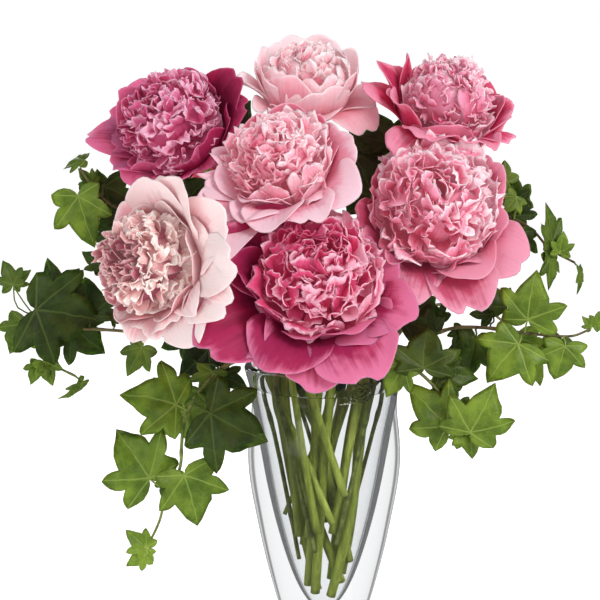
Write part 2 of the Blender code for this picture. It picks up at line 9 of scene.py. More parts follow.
import bpy
import numpy as np
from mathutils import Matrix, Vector


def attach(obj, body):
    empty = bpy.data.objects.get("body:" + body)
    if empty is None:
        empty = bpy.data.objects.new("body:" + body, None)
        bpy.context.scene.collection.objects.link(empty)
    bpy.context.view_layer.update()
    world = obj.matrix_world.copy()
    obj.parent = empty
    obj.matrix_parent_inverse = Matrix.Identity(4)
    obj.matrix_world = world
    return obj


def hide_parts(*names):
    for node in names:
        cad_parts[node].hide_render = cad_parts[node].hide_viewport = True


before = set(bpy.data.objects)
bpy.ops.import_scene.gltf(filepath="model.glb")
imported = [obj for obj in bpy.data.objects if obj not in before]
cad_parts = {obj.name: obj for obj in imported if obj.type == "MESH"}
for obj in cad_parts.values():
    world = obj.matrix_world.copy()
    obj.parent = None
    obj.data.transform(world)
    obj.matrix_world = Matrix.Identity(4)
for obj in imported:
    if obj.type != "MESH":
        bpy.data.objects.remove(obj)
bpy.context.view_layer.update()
MM = 0.001
FULL_TURN = 2 * math.pi

# ---------------------------------------------------- the vase

HOLLOW_BOTTOM = 65.0
HOLLOW_TOP = 257.5
HOLLOW_WIDENING = 3.93  # inner radius = widening * sqrt(height above the hollow's bottom)
LIP = ((62.6, 257.8), (60.4, 260.0), (56.6, 260.0))
OUTSIDE = (
    (43.4, 0.0), (44.6, 3.0), (43.6, 5.4), (38.0, 8.2), (29.5, 14.5), (27.0, 25.0), (28.4, 38.0),
    (32.4, 56.0), (39.4, 80.0), (47.6, 112.0), (53.8, 142.0), (58.0, 165.0), (59.9, 185.0),
    (59.2, 204.0), (57.3, 222.0), (57.2, 234.0), (59.2, 245.0),
)
WATER_LEVEL = 242.5
WATER_IN_GLASS = 0.25  # how far the water's skin lies inside the glass, so that no air is between them
VASE_SIDES = 112
STEPS = 6  # samples of a smooth line in each stretch between two of its points

# ---------------------------------------------------- peonies: where each head and stem goes

STEM_RADIUS = 3.5
VINE_RADIUS = 1.7
VINE_TIP_RADIUS = 0.9
STALK_RADIUS = 0.75
# From a ball of inner petals down to its stem's top, as in the frame: the room under the ball, the guard
# petals, and a gap.
HUG_GAP = 3.0
GUARD_THICKNESS = 1.2
GAP = 0.35
SWELL = ((26.0, 3.5), (14.0, 4.0), (7.0, 6.4), (2.5, 8.6), (0.0, 8.0))  # (below the flower, radius)
LOBES = 6  # directions in which a head's reach is given, anticlockwise from its right

PEONIES = {
    "peony_1": dict(
        ball=(-118, -4, 450), faces=(-0.35, -0.74, 0.58), radius=40, leaves_at=62, bends=62,
        reach=(18, 18, 26, 40, 34, 28),
        tip=(-7, 4, 78), mouth=(-34, 2, 232), above=((-44, 8, 262), (-66, 22, 330)),
    ),
    "peony_2": dict(
        ball=(-14, 15, 482), faces=(0.02, -0.4, 0.92), radius=33, leaves_at=74, bends=34,
        reach=(32, 22, 24, 33, 34, 34),
        tip=(-11, -1, 84), mouth=(-5, 6, 232), above=((-6, 12, 262), (-10, 26, 350)),
    ),
    "peony_3": dict(
        ball=(96, 2, 468), faces=(0.22, -0.5, 0.84), radius=38, leaves_at=66, bends=46,
        reach=(24, 22, 26, 36, 25, 28),
        tip=(6, 3, 88), mouth=(23, 4, 232), above=((32, 6, 262), (58, 16, 340)),
    ),
    "peony_4": dict(
        ball=(-34, -52, 424), faces=(-0.2, -0.72, 0.66), radius=36, leaves_at=70, bends=40,
        reach=(30, 14, 11, 24, 34, 38),
        tip=(18, -4, 104), mouth=(-10, -18, 232), above=((-13, -16, 262), (-18, -8, 330)),
    ),
    "peony_5": dict(
        ball=(-132, -75, 350), faces=(-0.5, -0.83, 0.24), radius=38, leaves_at=66, bends=52,
        reach=(52, 50, 34, 12, 22, 34),
        tip=(11, -8, 87), mouth=(-35, -14, 232), above=((-45, -16, 262), (-72, -18, 300)),
    ),
    "peony_6": dict(
        ball=(82, -57, 391), faces=(0.04, -0.86, 0.5), radius=45, leaves_at=66, bends=58,
        reach=(30, 14, 10, 18, 24, 54),
        tip=(3, -7, 77), mouth=(30, -14, 232), above=((38, -14, 262), (56, -6, 318)),
    ),
    "peony_7": dict(
        ball=(-5, -102, 343), faces=(-0.02, -0.84, 0.54), radius=43, leaves_at=64, bends=60,
        reach=(25, 10, 12, 44, 58, 54),
        tip=(-9, -10, 80), mouth=(4, -26, 232), above=((5, -32, 262), (1, -34, 286)),
    ),
    "peony_8": dict(
        ball=(-62, 97, 400), faces=(-0.3, 0.8, 0.52), radius=38, leaves_at=66, bends=50,
        reach=(28, 22, 24, 28, 28, 28),
        tip=(25, 6, 125), mouth=(-21, 18, 232), above=((-25, 26, 262), (-38, 38, 320)),
    ),
    "peony_9": dict(
        ball=(74, 86, 392), faces=(0.42, 0.74, 0.5), radius=39, leaves_at=66, bends=50,
        reach=(28, 22, 24, 28, 28, 28),
        tip=(19, 2, 92), mouth=(26, 16, 232), above=((32, 22, 262), (44, 32, 318)),
    ),
    "peony_10": dict(
        ball=(0, 104, 330), faces=(0.0, 0.93, 0.36), radius=40, leaves_at=64, bends=56,
        reach=(30, 18, 18, 30, 32, 32),
        tip=(-23, 8, 113), mouth=(8, 26, 232), above=((10, 34, 262), (6, 42, 292)),
    ),
}

# ---------------------------------------------------- ivy: routes of the vines, places of leaves

VINES = {
    "ivy_1_vine": dict(
        tip=(-12, 14, 112), mouth=(-38, 16, 232),
        above=(
            (-48, 18, 264), (-92, 22, 316), (-134, 20, 366), (-166, 14, 384), (-184, 8, 402),
            (-190, 10, 413),
        ),
    ),
    "ivy_2_vine": dict(
        tip=(-18, 4, 104), mouth=(-44, -2, 232),
        above=(
            (-54, -6, 263.5), (-88, -14, 278), (-124, -18, 286), (-160, -14, 289), (-188, -14, 290),
            (-206, -16, 286), (-216, -18, 275), (-213, -18, 264), (-205, -18, 260), (-193, -18, 254),
        ),
    ),
    "ivy_3_vine": dict(
        tip=(-7, -22, 116), mouth=(-33, -30, 232),
        above=(
            (-41, -33, 265), (-56, -43, 273), (-76, -57, 268), (-93, -66, 253), (-105, -70, 232),
            (-108, -72, 211), (-110, -70, 191), (-121, -66, 167), (-127, -64, 147), (-136, -62, 130),
        ),
    ),
    "ivy_4_vine": dict(
        tip=(9, -21, 122), mouth=(34, -28, 232),
        above=(
            (40, -33, 265), (52, -43, 272), (68, -56, 266), (82, -62, 254), (92, -64, 240), (100, -66, 226),
        ),
    ),
    "ivy_5_vine": dict(
        tip=(14, 17, 112), mouth=(43, 2, 232),
        above=(
            (53, -4, 264), (70, -18, 280), (98, -28, 293), (126, -34, 294), (150, -36, 291),
            (173, -32, 288), (190, -28, 287), (204, -26, 292),
        ),
    ),
    "ivy_6_vine": dict(
        tip=(-2, 20, 130), mouth=(36, 22, 232),
        above=((48, 26, 264), (92, 40, 322), (126, 30, 366), (153, 12, 372), (174, 0, 352), (194, -4, 341)),
    ),
    "ivy_7_vine": dict(
        tip=(10, 16, 118), mouth=(-22, 34, 232),
        above=((-26, 42, 266), (-56, 76, 279), (-92, 108, 270), (-112, 122, 240), (-118, 126, 204)),
    ),
    "ivy_8_vine": dict(
        tip=(-12, 18, 120), mouth=(22, 36, 232),
        above=((26, 42, 266), (60, 82, 284), (102, 112, 292), (142, 118, 284), (166, 112, 258)),
    ),
}

# Each leaf: its vine's number, where its stalk meets the blade, the blade's tip, the way its face looks,
# its width against its length, and its tone from 0, a dark leaf, to 1, a bright one, which paints shade on
# leaves in the flowers' shadow and light on those the lamps reach.
LEAVES = {
    "ivy_1_leaf_1": (1, (-191, 3, 392), (-181, -3, 352), (-0.2, -1, 0.3), 0.9, 0.7),
    "ivy_1_leaf_2": (1, (-172, 24, 398), (-160, 28, 358), (0.2, -1, 0.2), 0.9, 0.1),
    "ivy_2_leaf_1": (2, (-222, -24, 307), (-170, -21, 296), (0.1, -1, 0.12), 1.15, 0.1),
    "ivy_2_leaf_2": (2, (-206, -4, 304), (-217, 1, 344), (0.0, -1, 0.0), 0.75, 0.15),
    "ivy_2_leaf_3": (2, (-232, -12, 294), (-247, -13, 270), (-0.1, -1, 0.1), 1.0, 0.6),
    "ivy_3_leaf_1": (3, (-112, -74, 242), (-150, -80, 254), (0.1, -0.9, 0.5), 1.25, 0.75),
    "ivy_3_leaf_2": (3, (-86, -80, 237), (-42, -84, 217), (0.0, -1, 0.35), 1.15, 0.12),
    "ivy_3_leaf_3": (3, (-133, -66, 184), (-160, -62, 220), (-0.1, -1, 0.2), 1.1, 0.8),
    "ivy_3_leaf_4": (3, (-106, -77, 189), (-95, -80, 149), (0.1, -1, 0.3), 1.05, 0.8),
    "ivy_4_leaf_1": (4, (74, -62, 268), (78, -58, 300), (0.0, -1, 0.2), 1.3, 0.25),
    "ivy_4_leaf_2": (4, (91, -73, 226), (62, -75, 255), (-0.1, -1, 0.1), 0.95, 0.7),
    "ivy_4_leaf_3": (4, (108, -82, 223), (126, -88, 258), (0.1, -1, 0.2), 1.1, 0.8),
    "ivy_5_leaf_1": (5, (154, -42, 302), (161, -46, 338), (0.1, -1, 0.3), 1.15, 0.85),
    "ivy_5_leaf_2": (5, (146, -54, 285), (123, -62, 258), (0.0, -1, 0.3), 1.25, 0.9),
    "ivy_5_leaf_3": (5, (116, -28, 285), (106, -26, 250), (-0.2, -1, 0.2), 0.8, 0.2),
    "ivy_5_leaf_4": (5, (184, -34, 280), (178, -38, 253), (0.2, -1, 0.4), 1.2, 0.8),
    "ivy_6_leaf_1": (6, (151, 16, 384), (144, 20, 412), (0.1, -1, 0.1), 0.8, 0.2),
    "ivy_6_leaf_2": (6, (152, 4, 364), (148, 2, 338), (0.2, -1, 0.2), 0.95, 0.2),
    "ivy_7_leaf_1": (7, (-124, 130, 214), (-140, 136, 178), (-0.3, 1, 0.3), 1.1, 0.6),
    "ivy_8_leaf_1": (8, (164, 120, 262), (182, 128, 230), (0.3, 1, 0.3), 1.1, 0.6),
}
# Small leaves at the vines' ends, along them and at the vase's rim, which have no node of their own.
# Those with a tone near 0 are dark leaves that fill gaps between the heads with painted shade.
SMALL_LEAVES = {
    "ivy_1_tip_leaf": (1, (-188, 16, 419), (-208, 22, 415), (0.2, -0.8, 0.8), 0.7, 0.5),
    "ivy_2_tip_leaf_1": (2, (-221, -18, 263), (-228, -26, 250), (-0.2, -1, 0.4), 1.0, 0.7),
    "ivy_2_tip_leaf_2": (2, (-188, -18, 249), (-204, -20, 231), (0.9, -0.6, 0.1), 0.5, 0.6),
    "ivy_3_tip_leaf": (3, (-137, -66, 124), (-151, -70, 118), (0.0, -1, 0.5), 1.0, 1.0),
    "ivy_4_tip_leaf": (4, (106, -62, 220), (100, -58, 202), (0.2, -1, 0.2), 0.8, 0.7),
    "ivy_5_tip_leaf": (5, (208, -24, 296), (222, -22, 300), (0.0, -1, 0.3), 0.9, 0.8),
    "ivy_6_tip_leaf_1": (6, (176, -6, 358), (173, -10, 388), (0.6, -0.8, 0.0), 0.7, 0.4),
    "ivy_6_tip_leaf_2": (6, (197, -8, 336), (199, -10, 316), (0.9, -0.5, 0.0), 0.6, 0.4),
    "ivy_7_tip_leaf": (7, (-116, 130, 196), (-110, 134, 168), (0.2, 1, 0.2), 1.0, 0.7),
    "ivy_8_tip_leaf": (8, (172, 106, 250), (186, 104, 226), (0.8, 0.6, 0.1), 1.0, 0.7),
    "ivy_1_small_leaf_1": (1, (-174, 26, 385), (-178, 24, 411), (0.1, -1, 0.2), 1.0, 0.15),
    "ivy_1_small_leaf_2": (1, (-164, 28, 369), (-156, 30, 393), (0.2, -1, 0.1), 1.0, 0.05),
    "ivy_1_small_leaf_3": (1, (-181, 14, 402), (-191, 8, 412), (-0.3, -0.9, 0.3), 0.9, 0.5),
    "ivy_1_small_leaf_4": (1, (-167, 26, 362), (-175, 28, 337), (-0.1, -1, 0.1), 1.1, 0.05),
    "ivy_1_small_leaf_5": (1, (-175, 10, 337), (-189, 8, 348), (0.0, -1, 0.2), 1.0, 0.1),
    "ivy_2_small_leaf_9": (2, (-182, -8, 300), (-186, -6, 330), (0.1, -1, 0.2), 1.3, 0.05),
    "ivy_2_small_leaf_10": (2, (-196, -12, 292), (-170, -14, 272), (0.1, -1, 0.3), 1.2, 0.1),
    "ivy_2_small_leaf_1": (2, (-241, -14, 325), (-248, -16, 344), (0.1, -1, 0.2), 0.9, 0.35),
    "ivy_2_small_leaf_2": (2, (-240, -12, 325), (-229, -14, 337), (0.1, -0.9, 0.5), 0.9, 0.3),
    "ivy_2_small_leaf_3": (2, (-217, -20, 265), (-210, -22, 247), (0.1, -1, 0.3), 0.95, 0.8),
    "ivy_2_small_leaf_4": (2, (-217, -20, 266), (-203, -18, 261), (0.0, -1, 0.4), 1.1, 0.6),
    "ivy_2_small_leaf_5": (2, (-141, -20, 277), (-154, -22, 255), (-0.3, -1, 0.1), 0.9, 0.55),
    "ivy_2_small_leaf_6": (2, (-106, -12, 287), (-128, -14, 275), (0.1, -1, 0.2), 0.9, 0.05),
    "ivy_2_small_leaf_7": (2, (-163, -10, 295), (-170, -8, 307), (0.7, -0.7, 0.1), 0.6, 0.2),
    "ivy_2_small_leaf_8": (2, (-205, 0, 317), (-191, 4, 336), (0.1, -1, 0.2), 1.2, 0.05),
    "ivy_3_small_leaf_1": (3, (-89, -40, 278), (-111, -44, 258), (0.1, -1, 0.2), 1.1, 0.0),
    "ivy_3_small_leaf_2": (3, (-85, -62, 265), (-92, -66, 244), (0.1, -1, 0.3), 1.0, 0.4),
    "ivy_3_small_leaf_3": (3, (-89, -70, 242), (-103, -74, 227), (-0.1, -1, 0.2), 1.1, 0.5),
    "ivy_3_small_leaf_4": (3, (-117, -66, 184), (-124, -70, 164), (-0.3, -1, 0.2), 0.8, 0.35),
    "ivy_3_small_leaf_5": (3, (-136, -64, 130), (-151, -68, 144), (-0.1, -1, 0.3), 0.9, 1.0),
    "ivy_3_small_leaf_6": (3, (-136, -64, 128), (-140, -68, 116), (0.3, -1, 0.2), 1.0, 1.0),
    "ivy_3_small_leaf_7": (3, (-78, -58, 261), (-58, -56, 253), (0.0, -1, 0.3), 0.9, 0.05),
    "ivy_3_small_leaf_8": (3, (-99, -36, 276), (-83, -30, 291), (0.0, -1, 0.1), 1.1, 0.0),
    "ivy_4_small_leaf_1": (4, (59, -60, 269), (45, -66, 247), (-0.2, -1, 0.2), 1.0, 0.75),
    "ivy_4_small_leaf_2": (4, (87, -58, 264), (116, -62, 261), (0.1, -1, 0.3), 0.9, 0.25),
    "ivy_4_small_leaf_3": (4, (108, -74, 224), (111, -80, 202), (0.1, -1, 0.2), 1.0, 0.7),
    "ivy_4_small_leaf_4": (4, (83, -36, 291), (59, -40, 300), (0.0, -1, 0.2), 1.1, 0.05),
    "ivy_4_small_leaf_5": (4, (57, -50, 263), (48, -52, 284), (0.0, -1, 0.1), 1.1, 0.15),
    "ivy_4_small_leaf_6": (4, (93, -60, 249), (84, -58, 264), (0.0, -1, 0.2), 1.2, 0.3),
    "ivy_4_small_leaf_7": (4, (96, -66, 230), (90, -70, 257), (0.1, -1, 0.1), 0.8, 0.35),
    "ivy_4_small_leaf_8": (4, (60, -34, 300), (86, -30, 318), (0.0, -1, 0.2), 1.3, 0.0),
    "ivy_5_small_leaf_1": (5, (138, -28, 310), (128, -30, 325), (0.0, -1, 0.2), 1.1, 0.2),
    "ivy_5_small_leaf_2": (5, (129, -22, 303), (116, -24, 321), (0.0, -1, 0.1), 1.1, 0.1),
    "ivy_5_small_leaf_3": (5, (181, -30, 284), (171, -32, 266), (-0.3, -1, 0.2), 0.8, 0.3),
    "ivy_5_small_leaf_4": (5, (205, -25, 294), (198, -27, 302), (0.0, -1, 0.3), 0.9, 0.7),
    "ivy_5_small_leaf_5": (5, (89, -20, 297), (77, -18, 310), (0.0, -1, 0.1), 1.2, 0.0),
    "ivy_5_small_leaf_6": (5, (106, -26, 291), (98, -30, 275), (-0.1, -1, 0.2), 0.9, 0.15),
    "ivy_6_small_leaf_1": (6, (143, 16, 402), (123, 14, 420), (0.3, -0.9, 0.4), 0.7, 0.5),
    "ivy_6_small_leaf_2": (6, (149, 2, 391), (138, -4, 380), (-0.1, -1, 0.2), 1.1, 0.85),
    "ivy_6_small_leaf_3": (6, (182, -6, 349), (185, -8, 366), (0.1, -1, 0.2), 0.9, 0.9),
    "ivy_6_small_leaf_4": (6, (173, -4, 346), (170, -6, 372), (0.8, -0.6, 0.0), 0.7, 0.45),
    "ivy_6_small_leaf_5": (6, (174, -4, 345), (177, -6, 320), (0.7, -0.7, 0.1), 0.75, 0.5),
    "ivy_6_small_leaf_6": (6, (147, 14, 376), (160, 12, 396), (0.2, -1, 0.1), 1.0, 0.1),
    "ivy_6_small_leaf_7": (6, (136, 14, 358), (144, 12, 339), (0.1, -1, 0.1), 1.0, 0.1),
    "ivy_6_small_leaf_8": (6, (37, 18, 391), (22, 20, 427), (0.0, -1, 0.2), 1.2, 0.0),
    "ivy_6_small_leaf_9": (6, (30, 30, 424), (42, 30, 445), (0.0, -1, 0.2), 1.2, 0.0),
    "ivy_6_small_leaf_10": (6, (50, 30, 432), (38, 32, 456), (0.0, -1, 0.2), 1.2, 0.0),
    "rim_leaf_1": (1, (-38, 8, 262), (-34, 6, 238), (0.0, -1, 0.2), 1.2, 0.1),
    "rim_leaf_2": (1, (-22, 2, 264), (-20, 0, 238), (0.2, -1, 0.2), 1.2, 0.0),
    "rim_leaf_3": (3, (-6, 0, 262), (-8, -4, 234), (-0.1, -1, 0.2), 1.2, 0.15),
    "rim_leaf_4": (4, (10, -4, 264), (12, -8, 238), (0.1, -1, 0.1), 1.2, 0.0),
    "rim_leaf_5": (5, (26, -2, 262), (24, -6, 236), (0.0, -1, 0.2), 1.2, 0.1),
    "rim_leaf_6": (5, (38, 4, 262), (36, 2, 240), (0.0, -1, 0.1), 1.2, 0.2),
    "ivy_1_small_leaf_6": (1, (-76, 40, 443), (-58, 42, 465), (0.0, -1, 0.2), 1.2, 0.0),
    "ivy_1_small_leaf_7": (1, (-106, 24, 389), (-90, 26, 404), (0.0, -1, 0.2), 1.3, 0.0),
}

# Side shoots between the stems, which have no node of their own: cut tip, place in the mouth, and radius.
SIDE_SHOOTS = (
    ((6, -31, 141), (-41, -23, 250), 2.8),
    ((-19, -6, 125), (-31, -3, 250), 3.2),
    ((-11, 9, 126), (22, -10, 250), 2.6),
    ((-5, 29, 141), (19, 43, 250), 3.2),
    ((-12, -17, 127), (-4, -26, 250), 3.2),
    ((6, -17, 130), (29, -24, 250), 3.2),
    ((15, -30, 163), (-12, -41, 250), 3.0),
    ((-5, -28, 133), (-24, -44, 250), 2.6),
    ((4, -3, 136), (-13, -8, 250), 3.0),
    ((-31, 8, 139), (18, 37, 250), 1.8),
)
STEM_SIDES = 16
ROD_SIDES = 12  # of side shoots and vines
UPPER_POINTS = 7  # points of a stem's route from the vase's mouth to where it swells
VINE_POINTS = (3, 1.6)  # points of a vine's route above the mouth, and how many more for each place given
RIBS = 5
RIB_HEIGHT = 0.02  # against the stem's radius, as is the swelling
RIB_WINDING = 0.02  # turn of the ribs, in radians, and phase of the swelling, from one sample to the next
SWELLING = 0.035
SWELLING_PACE = 0.19
SHOOT_TOP = 292.0
SHOOT_BOW = 5.0  # how far aside a shoot's middle bows
SHOOT_THINNING = 0.4  # share of its radius that a shoot keeps at its top
ROOTS_PLACE = (24.0, -34.0, 241.0)
ROOT_RADIUS = 0.45
ROOTS = 9
ROOT_POINTS = 22
ROOT_SIDES = 5
ROOT_CURLS = (6.0, 2.5, 6.0)  # how far a root curls aside along each axis
ROOT_RUN = (6.0, 0.0, 5.0)  # from a root's start to its end
STEM_SEED = 100
ROOTS_SEED = 60

# Settling of the stems in the vase, as in the frame
SETTLE_TOP = 250.0
SETTLE_POINTS = 7
SETTLE_ROUNDS = 420
LAST_FREE_ROUNDS = 160
PUSH = 0.45  # share of an overlap that a stem moves away in one round
STRAIGHTENING = 0.12
LEAN_ROOM = 1.14  # leaning stems need more room side by side than across
SIDE_ROOM = 1.0
WALL_ROOM = 1.5
UNDER_TIP = 3.0  # a stem is pushed by a neighbour down to so far under that one's cut tip
SMALL = 0.01  # keeps a division off zero


# ---------------------------------------------------- meshes

def unit(vectors):
    """The same directions with length one."""
    vectors = np.asarray(vectors, float)
    return vectors / np.maximum(np.linalg.norm(vectors, axis=-1, keepdims=True), 1e-9)


def add_piece(name, vertices, faces, finish, slot, stands_for=(), maps=None, tone=None):
    """A smooth mesh object from whole arrays in millimetres, riding on the one body.

    maps holds UV maps by name, with one (u, v) for each face corner. tone is one number for each vertex.
    """
    mesh = bpy.data.meshes.new(name)
    mesh.from_pydata((vertices * MM).tolist(), [], faces, shade_flat=False)
    for map_name, places in (maps or {}).items():
        layer = mesh.uv_layers.new(name=map_name)
        layer.uv.foreach_set("vector", places.astype(np.float32).ravel())
    if tone is not None:
        attribute = mesh.attributes.new("tone", "FLOAT", "POINT")
        attribute.data.foreach_set("value", np.asarray(tone, np.float32))
    mesh.update()
    mesh.materials.append(finish)
    obj = bpy.data.objects.new(name, mesh)
    bpy.context.scene.collection.objects.link(obj)
    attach(obj, "root")
    if stands_for:
        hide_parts(*stands_for)


def grid_quads(numbers):
    """Quads between neighbours in a rows-by-columns array of vertex numbers."""
    corners = (numbers[:-1, :-1], numbers[:-1, 1:], numbers[1:, 1:], numbers[1:, :-1])
    return np.stack(corners, axis=-1).reshape(-1, 4)


def wrapped(rings, first_pole, last_pole):
    """A closed skin over rings of points (rings, sides, 3), with one point that closes each end.

    It faces outwards where the rings run along the thumb of a right hand that curls round them.
    """
    count, sides = rings.shape[:2]
    numbers = np.arange(count * sides).reshape(count, sides)
    numbers = np.concatenate([numbers, numbers[:, :1]], axis=1)
    quads = grid_quads(numbers)
    pole = count * sides
    first = np.column_stack([np.full(sides, pole), numbers[0, 1:], numbers[0, :-1]])
    last = np.column_stack([numbers[-1, :-1], numbers[-1, 1:], np.full(sides, pole + 1)])
    vertices = np.concatenate([rings.reshape(-1, 3), [first_pole, last_pole]])
    return vertices, quads.tolist() + first.tolist() + last.tolist()


def joined_skins(skins):
    """Several (vertices, faces) skins as one pair, with the faces renumbered."""
    starts = np.cumsum([0] + [len(vertices) for vertices, _ in skins])
    faces = []
    for (_, part), start in zip(skins, starts.tolist()):
        faces += [[int(corner) + start for corner in face] for face in part]
    return np.concatenate([vertices for vertices, _ in skins]), faces


def smooth_line(points, per_stretch=STEPS):
    """A Catmull-Rom curve through the points, with so many samples in each stretch."""
    points = np.asarray(points, float)
    first = 2 * points[0] - points[1]
    last = 2 * points[-1] - points[-2]
    knots = np.vstack([[first], points, [last]])
    a, b, c, d = (knots[k:len(knots) - 3 + k, None] for k in range(4))
    t = np.linspace(0.0, 1.0, per_stretch, endpoint=False)[None, :, None]
    curve = b + 0.5 * t * (c - a + t * (2 * a - 5 * b + 4 * c - d + t * (3 * (b - c) + d - a)))
    return np.vstack([curve.reshape(-1, points.shape[1]), points[-1:]])


def turned(profile, sides):
    """A solid of revolution about Z from a (radius, height) profile whose two ends lie on the axis."""
    profile = np.asarray(profile, float)
    angles = np.linspace(0.0, FULL_TURN, sides, endpoint=False)
    radius, height = profile[1:-1, :1], profile[1:-1, 1:]
    rings = np.stack([radius * np.cos(angles), radius * np.sin(angles), height + 0 * angles], axis=-1)
    return wrapped(rings, (0.0, 0.0, profile[0, 1]), (0.0, 0.0, profile[-1, 1]))


def tube(points, radii, sides, dents=1.0):
    """A round rod along the points: circles across the path, turned from the direction it least runs in."""
    points = np.asarray(points, float)
    along = unit(np.gradient(points, axis=0))
    directions = np.linalg.eigh(along.T @ along)[1]
    side = unit(np.cross(along, directions[:, 0]))
    other = np.cross(along, side)
    angles = np.linspace(0.0, FULL_TURN, sides, endpoint=False)[None, :, None]
    radii = np.broadcast_to(np.asarray(radii, float)[:, None], (len(points), sides)) * dents
    ring = np.cos(angles) * side[:, None] + np.sin(angles) * other[:, None]
    return wrapped(points[:, None] + radii[..., None] * ring, points[0], points[-1])


# ---------------------------------------------------- stems and vines: routes as in the frame

def hollow_radius(height):
    """Inner radius of the vase at a height."""
    return HOLLOW_WIDENING * np.sqrt(np.maximum(np.asarray(height, float) - HOLLOW_BOTTOM, 0.0))


def eased_route(points, count):
    """Points at even spacing along a smooth curve (Catmull-Rom) through the given ones."""
    fine = smooth_line(points, 12)
    along = np.concatenate([[0.0], np.cumsum(np.linalg.norm(np.diff(fine, axis=0), axis=1))])
    wanted = np.linspace(0.0, along[-1], count)
    return np.column_stack([np.interp(wanted, along, fine[:, k]) for k in range(3)])


def in_vase(route):
    """The part of a route from its cut tip to the top of the settled bunch, at even heights."""
    heights = np.linspace(route["tip"][2], SETTLE_TOP, SETTLE_POINTS)
    knots = np.array([route["tip"], route["mouth"], route["above"][0]], float)
    return np.column_stack([np.interp(heights, knots[:, 2], knots[:, k]) for k in (0, 1)] + [heights])


def push_from(one, other, room):
    """How far each point of a path moves sideways to leave another path that comes nearer than room."""
    near = np.column_stack([np.interp(one[:, 2], other[:, 2], other[:, k]) for k in (0, 1)])
    away = one[:, :2] - near
    apart = np.maximum(np.linalg.norm(away, axis=1), SMALL)
    overlap = np.clip(room - apart, 0.0, None) * (one[:, 2] > other[0, 2] - UNDER_TIP)
    return PUSH * (overlap / apart)[:, None] * away


def straighten(path):
    """Draws a path a little towards the gentle curve that fits it best."""
    fits = [np.polyfit(path[:, 2], path[:, k], 2) for k in (0, 1)]
    bend = np.column_stack([np.polyval(fit, path[:, 2]) for fit in fits])
    path[:, :2] += STRAIGHTENING * (bend - path[:, :2])


def keep_inside(path, radius):
    """Moves the points of a path that are too near the vase's wall towards the axis."""
    limit = np.maximum(hollow_radius(path[:, 2]) - radius - WALL_ROOM, 1.0)
    reach = np.maximum(np.linalg.norm(path[:, :2], axis=1), SMALL)
    path[:, :2] *= np.minimum(1.0, limit / reach)[:, None]


def settle(routes, radii):
    """Moves the stems sideways in the vase for a set number of rounds, pushing overlapping ones apart,
    exactly as the frame's own stems moved.
    """
    paths = [in_vase(route) for route in routes]
    for turn in range(SETTLE_ROUNDS):
        moves = [np.zeros((SETTLE_POINTS, 2)) for _ in paths]
        for i, one in enumerate(paths):
            for j, other in enumerate(paths):
                if i != j:
                    moves[i] += push_from(one, other, (radii[i] + radii[j] + SIDE_ROOM) * LEAN_ROOM)
        for path, move, radius in zip(paths, moves, radii):
            path[:, :2] += move
            if turn < SETTLE_ROUNDS - LAST_FREE_ROUNDS:
                straighten(path)
            keep_inside(path, radius)
    return paths


def peony_base(peony):
    """The top of a peony's stem: on the flower's axis, just under its guard petals."""
    depth = peony["radius"] + HUG_GAP + GUARD_THICKNESS + GAP
    return np.array(peony["ball"], float) - depth * unit(peony["faces"])


def stem_route(peony, settled):
    """The whole route of a stem, and its radius at each point: it swells under the flower."""
    base = peony_base(peony)
    axis = unit(peony["faces"])
    swell = [base - axis * back for back, _ in SWELL]
    upper = eased_route([settled[-1], *peony["above"], swell[0]], UPPER_POINTS)[1:]
    points = np.vstack([settled, upper[:-1], swell])
    radii = [STEM_RADIUS] * (len(points) - len(SWELL)) + [radius for _, radius in SWELL]
    return points, np.array(radii)


def vine_route(vine, settled):
    """The whole route of a vine, and its radius at each point: it thins to its end."""
    count = VINE_POINTS[0] + int(VINE_POINTS[1] * len(vine["above"]))
    upper = eased_route([settled[-1], *vine["above"]], count)[1:]
    points = np.vstack([settled, upper])
    thin = np.linspace(VINE_RADIUS, VINE_TIP_RADIUS, len(upper))
    return points, np.concatenate([np.full(len(settled), VINE_RADIUS), thin])


def all_routes():
    """Route and radii of every stem and vine, settled in the vase."""
    routes = {**PEONIES, **VINES}
    radii = [STEM_RADIUS] * len(PEONIES) + [VINE_RADIUS] * len(VINES)
    settled = dict(zip(routes, settle(list(routes.values()), radii)))
    paths = {name: stem_route(peony, settled[name]) for name, peony in PEONIES.items()}
    paths.update({name: vine_route(vine, settled[name]) for name, vine in VINES.items()})
    return paths


def smooth_rod(path):
    """A route's smooth middle line, and its radius at each point of that line."""
    points, radii = path
    return smooth_line(points), smooth_line(radii[:, None])[:, 0]


def make_stems(paths, finish):
    """Each peony's stem: a rod with faint ribs that wind up it and slight swellings along it."""
    around = np.linspace(0.0, FULL_TURN, STEM_SIDES, endpoint=False)[None]
    for number, name in enumerate(PEONIES):
        line, width = smooth_rod(paths[name])
        rng = np.random.default_rng(STEM_SEED + number)
        run = np.arange(len(line))[:, None]
        ribs = 1 + RIB_HEIGHT * np.sin(RIBS * around + rng.uniform(0, 6) + run * RIB_WINDING)
        swellings = 1 + SWELLING * np.sin(run * SWELLING_PACE + rng.uniform(0, 6)) * (run > 0)
        vertices, faces = tube(line, width, STEM_SIDES, ribs * swellings)
        add_piece(name + "_stalk", vertices, faces, finish, "peony_stem", [name + "_stem"])


def make_side_shoots(finish):
    """Green shoots between the stems as one piece: almost straight in the vase, thinner above its mouth."""
    skins = []
    for tip, mouth, radius in SIDE_SHOOTS:
        tip, mouth = np.array(tip, float), np.array(mouth, float)
        along = (mouth - tip) / (mouth[2] - tip[2])
        top = mouth + along * (SHOOT_TOP - mouth[2])
        bow = np.array((along[1], -along[0], 0.0)) * SHOOT_BOW
        line = smooth_line([tip, (tip + mouth) / 2 + bow, mouth, top])
        width = np.interp(line[:, 2], (mouth[2], SHOOT_TOP), (radius, SHOOT_THINNING * radius))
        skins.append(tube(line, width, ROD_SIDES))
    add_piece("side_shoots", *joined_skins(skins), finish, "peony_stem")


